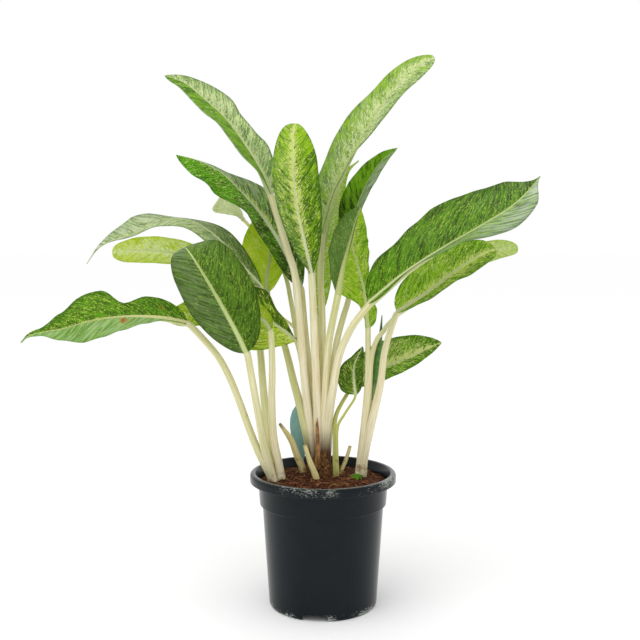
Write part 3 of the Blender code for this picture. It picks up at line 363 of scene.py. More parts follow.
         marks=Marks("3E6E0A", "8DBA08", "DEE8AC", cream="D4DE98", silver_and_sheen="B4C69A", rib=2.6,
                     near=(0.5, 0.55), far=(0.06, 0.34), band=0.6, shade=((0.7, 0.8, 1.0), (0.1, 0.2, 0.7)),
                     silver_and_sheen_amount=((0.3, 0.4, 0.35, 0.2), (0.5, 0.6, 0.6, 0.3)))),
    # The narrow folded leaf under b8
    Leaf("b9", outline=(0.6, 0.9), radii=(3.3, 4.8), greens=(0.6, 0.45, 0.2),
         midrib=[(34, 26, 418), (37, 28, 445), (43, 30, 471), (55, 32, 497), (70, 34, 518), (87, 34, 532)],
         facing=[(-0.5, -0.8, 0.35), (-0.5, -0.8, 0.4)], left=Half(23, (15, 5)), right=Half(22, (50, 20)),
         stalk=[(33, 28, 389), (31, 28, 360), (24, 27, 334), (17, 25, 308), (13, 24, 281), (8, 22, 220),
                (4, 22, ROOT_Z)],
         marks=Marks("25440A", "81BC1C", "A8C860", silver_and_sheen="C8D2C4", near=(0.15, 0.2), far=(0.08, 0.08),
                     shade=((0.1, 0.3, 0.9, 1.0), (0.2, 0.6, 0.9)), silver_and_sheen_amount=(0, (0.3, 0.8, 0.9, 0.5)))),
    # The leaf that faces away and shows its dull underside
    Leaf("b10", outline=(0.6, 0.7), radii=(4.0, 5.6), greens=(0.8, 0.1, 0),
         midrib=[(16, -22, 363), (22, -26, 395), (30, -30, 424), (36, -32, 446), (42, -32, 461)],
         facing=[(-0.2, 0.9, 0.3)], left=Half(10, (60, 60)),
         right=Half((10, 16, 22, 25, 25), (5, 5), curl=-20),
         stalk=[(10, -15, 338), (7, -8, 310), (4, -2, 270), (2, 4, 230), (0, 9, 190), (2, 14, ROOT_Z)],
         marks=Marks("436424", "638440", "C5E07A", cream="CCD48C", under="5C7C36", rib=3.0,
                     near=(0.4, 0.35), far=(0.25, 0.2))),
    # The narrow leaf behind the crown, its greens painted bright for the light shining through it
    Leaf("b11", outline=(0.6, 0.8), radii=(2.4, 4.4), greens=(0.7, 0.6, 0.3),
         midrib=[(-4, 32, 334), (-2, 34, 355), (-1, 36, 377), (1, 38, 407), (7, 42, 439), (14, 46, 466),
                 (20, 50, 487), (29, 52, 506), (43, 52, 519)],
         facing=[(0, -0.95, 0.3)], left=Half((12, 13, 14, 12, 6), (10, 5)),
         right=Half((12, 13, 12, 12, 5), (10, 5)),
         stalk=[(-4, 30, 310), (-3, 27, 275), (-3, 22, 206), (-1, 23, ROOT_Z)],
         marks=Marks("8DBC06", "BFE014", "F2F6C4", near=(0.5, 0.5), far=(0.35, 0.35), band=0.4,
                     shade=(0.8, 0.5), glow=0.5)),
    # The largest leaf, which reaches far right
    Leaf("b12", outline=(0.5, 0.65), radii=(4.0, 6.2), greens=(0.4, 0.1, 0.1),
         midrib=[(51, -35, 355), (67, -41, 369), (88, -46, 387), (117, -50, 407), (146, -54, 425),
                 (175, -56, 442), (202, -56, 459), (220, -54, 475), (235, -52, 493)],
         facing=[(-0.3, -0.65, 0.7), (-0.3, -0.65, 0.7), (-0.3, -0.7, 0.7)],
         left=Half((48, 43, 40, 45, 50, 54, 56, 58, 8), (25, 5), wave=1.5),
         right=Half((32, 31, 31, 34, 41, 49, 52, 45, 8), (30, 42, 38, 15, 5), wave=1.5, phase=0.5),
         stalk=[(40, -30, 342), (35, -28, 331), (28, -24, 318), (21, -19, 302), (16, -13, 283),
                (12, -7, 258), (7, 2, 222), (4, 9, 190), (3, 16, ROOT_Z)],
         marks=Marks("2F4E08", "578A10", "A4C848", cream="DCE0A8", silver_and_sheen="C6CFC2", rib=2.6,
                     near=(0.3, 0.4), far=(0.15, 0.23), band=0.15, shade=((0.6, 0.5, 0.3), (0.7, 0.6, 0.3)),
                     silver_and_sheen_amount=((0, 0.05, 0.1), (0, 0.1, 0.35, 0.85, 1.0)), glow=0.12)),
    # Clump C: the upright leaf whose blade starts lower on its right side
    Leaf("c1", outline=(0.5, 0.8), radii=(3.2, 5.4), greens=(0.5, 0.15, 0.1),
         midrib=[(52, 2, 323), (50, 2, 344), (47, 4, 369), (40, 6, 395), (34, 6, 421), (37, 4, 441),
                 (42, 2, 461)],
         facing=[(0, -0.95, 0.3)], left=Half((3, 8, 30, 28, 28, 28, 28), (8, 5)),
         right=Half((20, 16, 8, 8, 13, 20, 26, 28, 28), (8, 5)),
         stalk=[(52, 2, 300), (52, 4, 262), (49, 6, 215), (45, 10, 172), (42, 13, ROOT_Z)],
         # Its greens are painted bright for the light shining through it
         marks=Marks("539604", "A1D010", "E6EE80", cream="E8ECB0", near=(0.4, 0.5), far=(0.28, 0.28),
                     band=0.3, shade=(0.8, 0.5), glow=0.4)),
    # The leaf that reaches right under b12
    Leaf("c2", outline=(0.5, 0.42), radii=(3.6, 5.6), greens=(0.4, 0.05, 0),
         midrib=[(85, -4, 342), (101, -4, 352), (120, -4, 365), (142, -2, 382), (163, 0, 397),
                 (182, 2, 408), (198, 4, 414)],
         facing=[(-0.3, -0.7, 0.6)], left=Half((43, 35, 32), (10, 5)),
         right=Half((22, 18, 17, 21, 24), (30, 5), wave=1.2),
         stalk=[(78, -6, 327), (71, -6, 298), (66, -4, 257), (56, 2, 210), (48, 8, 169), (46, 11, ROOT_Z)],
         marks=Marks("4F8A04", "91C60C", "E6F088", cream="E8EABC", rib=3.6, near=(0.55, 0.85),
                     far=(0.22, 0.3), band=0.28, shade=((0.7, 0.5, 0.4), 0.4))),
    # The pale leaf behind b12, of which the tip shows
    Leaf("c3", outline=(0.5, 0.4), radii=(2.4, 4.0), greens=(0.7, 0.4, 0.2),
         midrib=[(108, 58, 352), (137, 58, 376), (166, 58, 396), (196, 58, 410), (220, 58, 415),
                 (236, 58, 414)],
         facing=[(-0.2, -0.8, 0.5)], left=Half(15, (10, 5)), right=Half((8, 8, 12, 17, 19), (10, 5)),
         stalk=[(84, 44, 332), (78, 22, 327), (70, 4, 319), (62, 2, 309), (56, 2, 287), (53, 4, 238),
                (47, 10, 178), (44, 15, ROOT_Z)],
         marks=Marks("A9C850", "D3E084", "ECF2C4", near=(0.35, 0.35), far=(0.25, 0.25), glow=0.4)),
    # Clump D: the low dark leaf with dense speckles
    Leaf("d1", outline=(0.6, 0.8), radii=(2.2, 3.6), greens=(1.0, 0.9, 0.6),
         midrib=[(34, 22, 251), (51, 31, 261), (74, 36, 273), (97, 36, 283), (121, 34, 294),
                 (141, 32, 303)],
         facing=[(-0.1, -0.75, 0.6)], left=Half((27, 33, 37), (8, 5)), right=Half(20, (20, 10)),
         stalk=[(23, 18, 242), (15, 10, 218), (14, 3, 187), (15, 3, ROOT_Z)],
         marks=Marks("3D7004", "75B004", "E4EC94", cream="E8EABC", near=(0.7, 0.7), far=(0.26, 0.2),
                     band=0.28)),
    # The small dark leaf that stands behind clump C
    Leaf("d2", outline=(0.5, 0.7), radii=(1.4, 2.6), greens=(1.0, 0.9, 0.6),
         midrib=[(38, 5, 245), (36, 5, 262), (36, 5, 278), (41, 5, 291), (46, 5, 301)],
         facing=[(-0.1, -0.95, 0.2)], left=Half((24, 20, 16, 8, 6), (5, 5)), right=Half(11, (5, 5)),
         stalk=[(34, 2, 234), (25, -2, 223), (17, -3, 208), (16, -1, 181), (17, 2, ROOT_Z)],
         marks=Marks("294A0A", "49721A", "B8D060", far=(0.25, 0.15), band=0.3)),
]


def linear_color(hex_color):
    """Turn an sRGB hex colour into linear values."""
    values = [int(hex_color[i:i + 2], 16) / 255 for i in (0, 2, 4)]
    return [v / 12.92 if v <= 0.04045 else ((v + 0.055) / 1.055) ** 2.4 for v in values] + [1.0]


def set_inputs(tree, node, inputs):
    """Fill a node's inputs, by name or in turn: each takes a value, a hex colour or an output."""
    for socket, value in inputs.items() if isinstance(inputs, dict) else enumerate(inputs):
        if isinstance(value, bpy.types.NodeSocket):
            tree.links.new(value, node.inputs[socket])
        elif isinstance(value, str):
            node.inputs[socket].default_value = linear_color(value)
        else:
            node.inputs[socket].default_value = value


def add_node(tree, kind, inputs=(), **settings):
    """Add a shader node with its settings and links, and return its outputs."""
    node = tree.nodes.new("ShaderNode" + kind)
    for key, value in settings.items():
        setattr(node, key, value)
    set_inputs(tree, node, inputs)
    return node.outputs


def new_finish(name):
    """A new material, and add_node for its own nodes."""
    material = bpy.data.materials.new(name)
    material.use_nodes = True
    return material, partial(add_node, material.node_tree)


def dress(material, color, relief, strength, depth, roughness, specular=0.5):
    """Give a material its colour, relief and gloss; what comes back is the relief and the skin."""
    tree = material.node_tree
    bump = add_node(tree, "Bump", {"Height": relief, "Strength": strength, "Distance": depth})[0]
    skin = tree.nodes["Principled BSDF"]
    set_inputs(tree, skin, {"Base Color": color, "Normal": bump, "Roughness": roughness,
                            "Specular IOR Level": specular})
    return bump, skin.outputs[0]


def deselect_all():
    """Leave object mode with nothing selected."""
    if bpy.context.object and bpy.context.object.mode != "OBJECT":
        bpy.ops.object.mode_set(mode="OBJECT")
    bpy.ops.object.select_all(action="DESELECT")


def select_only(obj):
    """Select one object and make it active."""
    deselect_all()
    obj.select_set(True)
    bpy.context.view_layer.objects.active = obj


def name_active(name):
    """Name the object that was just added, and its mesh."""
    obj = bpy.context.object
    obj.name = name
    obj.data.name = name
    return obj


def apply_modifier(obj, kind, **settings):
    """Add a modifier with its settings and apply it."""
    select_only(obj)
    modifier = obj.modifiers.new(kind, kind)
    for key, value in settings.items():
        setattr(modifier, key, value)
    bpy.ops.object.modifier_apply(modifier=modifier.name)


def settle(name, parts, material, slot, *nodes, angle=50.0):
    """Finish a piece: join and name it, shade and dress it, and let it stand for its CAD nodes."""
    select_only(parts[0])
    for part in parts:
        part.select_set(True)
    if len(parts) > 1:
        bpy.ops.object.join()
    obj = name_active(name)
    bpy.ops.object.shade_smooth_by_angle(angle=math.radians(angle))
    obj.data.materials.clear()
    obj.data.materials.append(material)
    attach(obj, "root")
    if nodes:
        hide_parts(*nodes)


def unit(vectors):
    """Scale vectors to length one."""
    return vectors / np.linalg.norm(vectors, axis=-1, keepdims=True)


def between(at, stations, rows):
    """Read rows of three numbers, given at stations, anywhere between them."""
    return np.stack([np.interp(at, stations, rows[:, axis]) for axis in range(3)], -1)


def path_length(points):
    """How long a path is."""
    return float(np.linalg.norm(np.diff(points, axis=0), axis=1).sum())


def smooth_path(points, count):
    """Run a Catmull-Rom curve through the points and return evenly spaced points on it."""
    points = np.asarray(points, float)
    padded = np.vstack([2 * points[0] - points[1], points, 2 * points[-1] - points[-2]])
    t = np.arange(40)[:, None] / 40
    dense = []
    for i in range(1, len(padded) - 2):
        p0, p1, p2, p3 = padded[i - 1:i + 3]
        dense.append(0.5 * (2 * p1 + (p2 - p0) * t + (2 * p0 - 5 * p1 + 4 * p2 - p3) * t ** 2
                            + (3 * p1 - p0 - 3 * p2 + p3) * t ** 3))
    dense = np.vstack(dense + [padded[-2]])
    travel = np.r_[0.0, np.cumsum(np.linalg.norm(np.diff(dense, axis=0), axis=1))]
    return between(np.linspace(0, travel[-1], count), travel, dense)


def at_stations(values, s):
    """Ease between values given at even stations from base to tip."""
    values = np.atleast_1d(np.asarray(values, float))
    if len(values) == 1:
        return np.full_like(s, values[0])
    t = s * (len(values) - 1)
    i = np.clip(t.astype(int), 0, len(values) - 2)
    ease = (t - i) ** 2 * (3 - 2 * (t - i))
    return values[i] * (1 - ease) + values[i + 1] * ease


def ramp(values, low, high):
    """Go from 0 to 1 between two values, evenly."""
    return np.clip((values - low) / (high - low), 0, 1)


def half_width(side, outline, s):
    """Width of one side of a blade at each station."""
    rise, fall = outline
    peak = rise / (rise + fall)
    form = s ** rise * np.clip(1 - s, 0, 1) ** fall / (peak ** rise * (1 - peak) ** fall)
    base = BLADE_BASE_HALF_WIDTH * np.clip(1 - 8 * s, 0, 1)
    width = np.maximum(at_stations(side.width, s) * form, base)
    return np.where(s < 1, np.maximum(width, BLADE_LEAST_HALF_WIDTH), 0.0)


class Spine:
    """The midrib with its directions: along the leaf, up from its face, and to its left."""

    def __init__(self, leaf):
        self.stations = np.linspace(0, 1, SPINE_STATIONS)
        self.points = smooth_path(leaf.midrib, SPINE_STATIONS)
        self.length = path_length(self.points)
        self.along = unit(np.gradient(self.points, axis=0))
        facing = unit(np.asarray(leaf.facing, float))
        up = between(self.stations, np.linspace(0, 1, len(facing)), facing)
        self.up = unit(up - (up * self.along).sum(1, keepdims=True) * self.along)
        self.left = np.cross(self.up, self.along)

    def read(self, rows, s):
        """One of the arrays at the stations s."""
        return between(s, self.stations, rows)


def across_half(side, width, s, share):
    """Go a share of the way from the midrib to the edge: how far sideways and how far up."""
    out = np.zeros_like(s)
    up = np.zeros_like(s)
    for i in range(CURL_STEPS):
        angle = np.radians(at_stations(side.fold, s) + side.curl * share * (i + 0.5) / CURL_STEPS)
        out += width * share / CURL_STEPS * np.cos(angle)
        up += width * share / CURL_STEPS * np.sin(angle)
    return out, up


def blade_points(leaf, spine, s, u, seed):
    """Points on the upper face, and how far out they lie; u is -1 at the right edge, 1 at the left."""
    share = np.abs(u)
    swell = np.sqrt(np.clip(np.sin(np.pi * s), 0, 1))
    side_out = np.zeros_like(s)
    rise = np.zeros_like(s)
    for sign, side in ((1, leaf.left), (-1, leaf.right)):
        mine = (u > 0) if sign > 0 else (u <= 0)
        width = half_width(side, leaf.outline, s)
        out, up = across_half(side, width, s, share)
        up += side.wave * share ** 2 * np.sin(math.tau * (WAVE_COUNT * s + side.phase)) * swell
        ripple = np.sin(math.tau * (RIPPLE_COUNT * s + RIPPLE_SHIFT * seed))
        ripple *= np.minimum(1, width / RIPPLE_FULL_WIDTH)
        up += RIPPLE_HEIGHT * share * swell * ripple
        side_out = np.where(mine, sign * out, side_out)
        rise = np.where(mine, up, rise)
    rise -= GROOVE_DEPTH * np.exp(-(side_out / GROOVE_WIDTH) ** 2) * (1 - s)
    sideways = side_out[..., None] * spine.read(spine.left, s)
    upwards = rise[..., None] * spine.read(spine.up, s)
    return spine.read(spine.points, s) + sideways + upwards, side_out


def write_points(obj, points):
    """Move the mesh's points, given in millimetres."""
    obj.data.vertices.foreach_set("co", (points * MM).astype(np.float32).ravel())
    obj.data.update()


def read_rows(data, key):
    """Three numbers for each point, as an array."""
    values = np.empty(len(data) * 3, np.float32)
    data.foreach_get(key, values)
    return values.reshape(-1, 3)


def read_points(obj):
    """The mesh's points as they are."""
    return read_rows(obj.data.vertices, "co").astype(float)


def store(obj, name, *columns):
    """Keep three numbers for each point, which the finish reads."""
    if name not in obj.data.attributes:
        obj.data.attributes.new(name, "FLOAT_VECTOR", "POINT")
    values = np.zeros((len(obj.data.vertices), 3), np.float32)
    for i, column in enumerate(columns):
        values[:, i] = column
    obj.data.attributes[name].data.foreach_set("vector", values.ravel())


def read_stored(obj, name):
    """The three numbers that are kept for each point."""
    return read_rows(obj.data.attributes[name].data, "vector")


def grid_piece(columns, rows):
    """A flat grid, with the shares 0 to 1 of each point across and along it."""
    deselect_all()
    bpy.ops.mesh.primitive_grid_add(x_subdivisions=columns, y_subdivisions=rows, size=1.0)
    flat = read_points(bpy.context.object)
    return bpy.context.object, flat[:, 0] + 0.5, flat[:, 1] + 0.5


def close_up(obj, distance=0.01, closed=True):
    """Merge the points that meet, and point the faces of a closed piece outwards."""
    select_only(obj)
    bpy.ops.object.mode_set(mode="EDIT")
    bpy.ops.mesh.select_all(action="SELECT")
    bpy.ops.mesh.remove_doubles(threshold=distance * MM)
    if closed:
        bpy.ops.mesh.normals_make_consistent(inside=False)
    bpy.ops.object.mode_set(mode="OBJECT")


def fleck_density(marks, s, share, on_left):
    """How thickly the flecks stand: most beside the midrib, none at the very margin."""
    near = np.where(on_left, *marks.near) * np.exp(-(share / marks.band) ** 2)
    patchy = 1 + PATCHINESS * np.sin(9.0 * s + 5.0 * share)
    far = np.where(on_left, *marks.far) * patchy
    return np.maximum(near, far) * ramp(1 - share, 0.0, MARGIN)


def mark_blade(obj, leaf, spine, s, u, side_out, seed):
    """Keep on each point what the leaf finish needs to colour it."""
    marks = leaf.marks
    share = np.abs(u)
    out = np.abs(side_out)
    on_left = u > 0
    vein = s * spine.length - VEIN_LEAN * out - VEIN_CURVE * out ** 2
    store(obj, "fleck_place", vein / FLECK_WIDTH, out / FLECK_LENGTH,
          LEAF_STEP * seed + SIDE_STEP * on_left)
    rib_width = marks.rib * (1.06 - s)
    store(obj, "leaf_zone", fleck_density(marks, s, share, on_left), out / rib_width, 0.0)
    # Each side's shade is partly the leaf's own greens and partly painted shade, darker deep in the crown
    # and under other leaves
    shade, silver_and_sheen_amount = (np.where(on_left, at_stations(left, s), at_stations(right, s))
                    for left, right in (marks.shade, marks.silver_and_sheen_amount))
    shade -= 0.3 * ramp(share, 0.85, 1.0)
    # The silver-grey tint of face and edge is partly the leaf's own variegation and partly painted sheen
    silver_and_sheen_amount *= 0.5 + 0.5 * np.sin(np.pi * np.clip(share, 0, 1)) ** 0.5
    edge = np.where(on_left, *marks.edge) * ramp(share, 0.9, 0.97)
    brown = np.zeros_like(s)
    for at, where, size in marks.brown:
        side = leaf.left if where > 0 else leaf.right
        width = half_width(side, leaf.outline, np.array([at]))[0]
        apart = np.hypot((s - at) * spine.length, (u - where) * width)
        brown = np.maximum(brown, 1 - ramp(apart, 0.5 * size, size))
    store(obj, "leaf_tone", np.maximum(silver_and_sheen_amount, edge), shade, brown)


def make_blade(leaf, spine, seed):
    """The blade with its thickness: thin at the edge and thick along the midrib."""
    obj, across, along = grid_piece(BLADE_COLUMNS, BLADE_ROWS)
    u = 1 - 2 * across
    u = np.sign(u) * np.abs(u) ** COLUMN_CROWDING
    s = np.clip(along - ROW_CROWDING * np.sin(math.tau * along), 0, 1)
    points, side_out = blade_points(leaf, spine, s, u, seed)
    points[s >= 1 - 1e-6] = spine.points[-1]
    write_points(obj, points)
    mark_blade(obj, leaf, spine, s, u, side_out, seed)
    thickness = obj.vertex_groups.new(name="thickness")
    for index, weight in enumerate(np.exp(-(side_out / THICK_WIDTH) ** 2) * (1 - s) ** 1.2):
        thickness.add([index], float(weight), "REPLACE")
    close_up(obj, closed=False)
    upper_count = len(obj.data.vertices)
    apply_modifier(obj, "SOLIDIFY", thickness=BLADE_MIDDLE_THICKNESS * MM, offset=-1.0,
                   vertex_group="thickness",
                   thickness_vertex_group=BLADE_EDGE_THICKNESS / BLADE_MIDDLE_THICKNESS)
    zone = read_stored(obj, "leaf_zone")
    zone[upper_count:, 2] = 1.0
    store(obj, "leaf_zone", *zone.T)
    obj.vertex_groups.clear()
    return obj


def rod_points(path, radii, first_up, around, along, groove=0.0):
    """Points of a round rod along a path; its grooved side follows first_up."""
    direction = unit(np.gradient(path, axis=0))
    ups = [first_up]
    for step in direction:
        ups.append(unit(ups[-1] - np.dot(ups[-1], step) * step))
    ups = np.array(ups[1:])
    stations = np.linspace(0, 1, len(path))
    rows = (path, ups, np.cross(ups, direction))
    centre, up, side = (between(along, stations, values) for values in rows)
    radius = np.interp(along, np.linspace(0, 1, len(radii)), radii)
    angle = math.tau * around
    ridges = RIDGE_HEIGHT * np.cos(STALK_RIDGES * angle)
    radius = radius * (1 - groove * np.clip(np.cos(angle), 0, 1) ** 4 + ridges)
    high = (radius * np.cos(angle))[:, None] * up
    return centre, centre + high + (radius * np.sin(angle))[:, None] * side


def make_rod(path, radii, first_up=(0, -1, 0), greens=0.0, rows=STALK_ROWS, groove=0.0, blunt=0.12,
             dry=NEVER_DRY):
    """A round rod along a path, closed to a dome at each end; past the share dry it turns brown."""
    obj, around, along = grid_piece(STALK_SIDES, rows)
    path = np.asarray(path, float)
    end = np.minimum(along, 1 - along) * rows
    dome = np.where(end < 0.5, 0.0, np.where(end < 1.5, 1 - blunt, 1.0))
    ends = np.clip((along * rows - 1) / (rows - 2), 0, 1)
    centre, skin = rod_points(path, radii, np.asarray(first_up, float), around, ends, groove)
    write_points(obj, centre + (skin - centre) * dome[:, None])
    length = path_length(path)
    angle = math.tau * around
    store(obj, "strand_place", STRANDS_ROUND * np.cos(angle), STRANDS_ROUND * np.sin(angle),
          ends * length / STRAND_LENGTH + length)
    store(obj, "stalk_tone", at_stations(greens, ends), ends, ramp(ends, dry, dry + DRYING))
    close_up(obj)
    return obj


def make_stalk(leaf, spine):
    """One leaf stalk, in line with the midrib, grooved above and swollen near its root."""
    first, last = leaf.radii
    radii = [first, first] + list(np.linspace(first, last, 12))
    end = spine.points[0] - STALK_DROP * first * spine.up[0]
    lead = unit(spine.along[0] + 2.0 * unit(end - np.asarray(leaf.stalk[1], float)))
    lower = smooth_path([end, end - STALK_BEND * lead] + leaf.stalk[1:], STALK_ROWS)
    path = np.vstack([end + spine.along[0], lower])
    woody = NEVER_DRY
    if leaf.name[0] == "b":
        woody = np.interp(-WOODY_TOP_Z, -path[:, 2], np.linspace(0, 1, len(path)))
    return make_rod(path, radii, spine.up[0], leaf.greens, groove=STALK_GROOVE, dry=woody)


def make_rib(leaf, spine, seed):
    """The midrib under the blade, which carries the stalk on and thins towards the tip."""
    s = np.linspace(0, RIB_END, RIB_ROWS)
    radius = leaf.radii[0] * RIB_SHARE * (1 - s / (RIB_END + 0.02)) ** 1.3 + 0.25
    path = spine.read(spine.points, s) - (0.75 * radius + 0.35 * s)[:, None] * spine.read(spine.up, s)
    rib = make_rod(path, radius, spine.up[0], rows=RIB_ROWS)
    s = RIB_END * read_stored(rib, "stalk_tone")[:, 1]
    store(rib, "fleck_place", s * spine.length / FLECK_WIDTH, 0.0, LEAF_STEP * seed)
    store(rib, "leaf_zone", 0.0, 0.4 + 0.5 * s, 0.0)
    store(rib, "leaf_tone", 0.0, 0.5, 0.0)
    for name in ("stalk_tone", "strand_place"):
        rib.data.attributes.remove(rib.data.attributes[name])
    return rib


def leaf_finish(name, marks):
    """Living leaf skin with a thin wax, its satin sheen partly painted into pale silver bands: flecked
    along the side veins and lit through.
    """
    material, add = new_finish("living leaf skin of " + name)
    place, zone, tone = (add("Attribute", attribute_name=key)["Vector"]
                         for key in ("fleck_place", "leaf_zone", "leaf_tone"))
    density, rib_level, underside = add("SeparateXYZ", [zone])
    silver_and_sheen, shade, brown = add("SeparateXYZ", [tone])

    # Greens drift along the veins in patches about five by ten millimetres, over each blade's light and
    # dark, which is partly painted shade
    patches = add("TexNoise", {"Vector": place, "Scale": 0.24, "Detail": 2.0})[0]
    drift = add("MapRange", [patches, 0.32, 0.68, -0.65, 0.65])[0]
    green = add("Math", [shade, drift], operation="ADD", use_clamp=True)[0]

    # Silver bands along the side veins, about four by fifteen millimetres: own variegation and painted
    # sheen
    longer = add("VectorMath", [place, (1, 0.45, 1)], operation="MULTIPLY")[0]
    bands = add("TexNoise", {"Vector": longer, "Scale": 0.32, "Detail": 3.0})[0]
    banded = add("MapRange", [bands, 0.38, 0.60, 0.2, 1.0])[0]
    silver_and_sheen_amount = add("Math", [banded, silver_and_sheen], operation="MULTIPLY")[0]

    # Flecks about one by three millimetres, thickest beside the midrib
    flecks = add("TexNoise", {"Vector": place, "Scale": 1.0, "Detail": 2.0,
                              "Roughness": 0.6, "Distortion": 0.9})[0]
    crowding = add("MapRange", [bands, 0.35, 0.65, 0.26, 0.56])[0]
    level = add("Math", [density, crowding, flecks], operation="MULTIPLY_ADD")[0]
    specks = add("MapRange", [level, 0.645, 0.685, 0, 0.95])[0]

    # Fine side veins every five millimetres, the duller underside and the cream midrib
    veins = add("TexWave", {"Vector": place, "Scale": 0.07, "Distortion": 0.8})[1]
    lines = add("MapRange", [veins, 0.8, 1.0, 0, 0.14])[0]
    under = add("Math", [underside, 0.6], operation="MULTIPLY")[0]
    rib = add("MapRange", [rib_level, 0.5, 1.1, 0.95, 0.0])[0]
    color = marks.dark
    for share, tint in ((green, marks.light), (silver_and_sheen_amount, marks.silver_and_sheen), (specks, marks.fleck),
                        (lines, marks.fleck), (under, marks.under), (rib, marks.cream),
                        (brown, DRY_SPOT)):
        color = add("Mix", {0: share, 6: color, 7: tint}, data_type="RGBA")[2]
    height = add("Math", [veins, 0.5, flecks], operation="MULTIPLY_ADD")[0]
    bump, skin = dress(material, color, height, strength=0.3, depth=0.0005, roughness=0.5,
                       specular=0.06)
    through = add("Mix", {0: 0.5, 6: color, 7: LIGHT_THROUGH}, data_type="RGBA")[2]
    glow = add("BsdfTranslucent", {"Color": through, "Normal": bump})[0]
    blend = add("MixShader", [marks.glow, skin, glow])[0]
    set_inputs(material.node_tree, material.node_tree.nodes["Material Output"], {"Surface": blend})
    return material


def stalk_finish(name, cream, shadow, green):
    """Fleshy living skin, smooth and a little waxy: cream with fine lengthwise strands."""
    material, add = new_finish("fleshy stalk skin of " + name)
    place, tone = (add("Attribute", attribute_name=key)["Vector"]
                   for key in ("strand_place", "stalk_tone"))
    greenness, _, dryness = add("SeparateXYZ", [tone])
    strands = add("TexNoise", {"Vector": place, "Scale": 1.3, "Detail": 3.0})[0]
    strand = add("MapRange", [strands, 0.35, 0.6])[0]

    # The green of the blade runs down into the stalk in streaks
    streaks = add("TexNoise", {"Vector": place, "Scale": 0.6, "Detail": 1.0})[0]
    streak = add("MapRange", [streaks, 0.3, 0.65, 0.35, 1.0])[0]
    greened = add("Math", [streak, greenness], operation="MULTIPLY")[0]

    # Brown smudges low down, where old sheaths came off
    at = add("TexCoord")["Object"]
    height = add("SeparateXYZ", [at])[2]
    low = add("MapRange", [height, 0.147, 0.185, 0.16, -0.12])[0]
    smudges = add("TexNoise", {"Vector": at, "Scale": 110.0, "Detail": 3.0})[0]
    level = add("Math", [smudges, low], operation="ADD")[0]
    dirt = add("MapRange", [level, 0.59, 0.76, 0, 0.7])[0]
    color = shadow
    for share, tint in ((strand, cream), (greened, green), (dirt, "80582E"), (dryness, "54351C")):
        color = add("Mix", {0: share, 6: color, 7: tint}, data_type="RGBA")[2]
    dress(material, color, strands, strength=0.3, depth=0.0005, roughness=0.45, specular=0.3)
    return material


def pot_finish():
    """Injection-moulded polypropylene: near black, glossy, scuffed pale at the lip and the foot, with a
    painted highlight along the lip's crest.
    """
    material, add = new_finish("moulded polypropylene")
    at = add("TexCoord")["Object"]
    right, _, height = add("SeparateXYZ", [at])
    flat = add("VectorMath", [at, (1, 1, 0)], operation="MULTIPLY")[0]
    radius = add("VectorMath", [flat], operation="LENGTH")["Value"]
    patches = add("TexNoise", {"Vector": at, "Scale": 31.0, "Detail": 2.0})[0]

    # Worn patches at the foot and on the lip's outside, most on its right
    foot = add("MapRange", [height, 0.001, 0.009, 0.26, 0.0])[0]
    wear = add("MapRange", [height, 0.1450, 0.1550, 0.06, 0.30])[0]
    outside = add("MapRange", [radius, 0.0795, 0.0825])[0]
    side = add("MapRange", [right, -0.05, 0.02, 0.4, 1.0])[0]
    worn = add("MapRange", [patches, 0.36, 0.6])[0]
    for other, how in ((outside, "MULTIPLY"), (side, "MULTIPLY"), (foot, "MAXIMUM"), (worn, "MULTIPLY")):
        wear = add("Math", [wear, other], operation=how)[0]

    # Scuffs about one by three millimetres, drawn out along the rim, and a painted highlight: a pale grey
    # line along the lip's crest, broken up by the scuffs
    squashed = add("VectorMath", [at, (1, 1, 2.6)], operation="MULTIPLY")[0]
    scuffs = add("TexNoise", {"Vector": squashed, "Scale": 330.0, "Detail": 4.0,
                              "Roughness": 0.7})[0]
    level = add("Math", [scuffs, wear], operation="ADD")[0]
    marks = add("MapRange", [level, 0.62, 0.76])[0]
    touched = add("MapRange", [wear, 0.0, 0.08, 0, 0.85])[0]
    marks = add("Math", [marks, touched], operation="MULTIPLY")[0]
    # A painted highlight: the pale line along the crest of the lip
    crest = add("MapRange", [height, 0.1547, 0.1553, 0, 0.5])[0]
    painted_crest_highlight = add("Math", [crest, scuffs], operation="MULTIPLY")[0]
    marks = add("Math", [marks, painted_crest_highlight], operation="MAXIMUM")[0]
    tone = add("Mix", {0: patches, 6: "070D11", 7: "0F181D"}, data_type="RGBA")[2]
    color = add("Mix", {0: marks, 6: tone, 7: "A4A8A0"}, data_type="RGBA")[2]
    dress(material, color, patches, strength=0.12, depth=0.001, roughness=0.22, specular=0.17)
    return material


def crumb_finish(name, dark, light, size):
    """Dull crumbly matter whose grains differ in colour; size is a grain's, in millimetres."""
    material, add = new_finish(name)
    at = add("TexCoord")["Object"]
    grains = add("TexVoronoi", {"Vector": at, "Scale": 1000.0 / size})["Color"]
    grain = add("SeparateColor", [grains])[0]
    fibres = add("TexNoise", {"Vector": at, "Scale": 700.0 / size, "Detail": 5.0,
                              "Roughness": 0.7, "Distortion": 1.2})[0]
    level = add("Math", [grain, 0.5, fibres], operation="MULTIPLY_ADD")[0]
    tone = add("MapRange", [level, 0.4, 1.0])[0]
    color = add("Mix", {0: tone, 6: dark, 7: light}, data_type="RGBA")[2]
    dress(material, color, fibres, strength=0.8, depth=0.0015, roughness=0.95, specular=0.15)
    return material


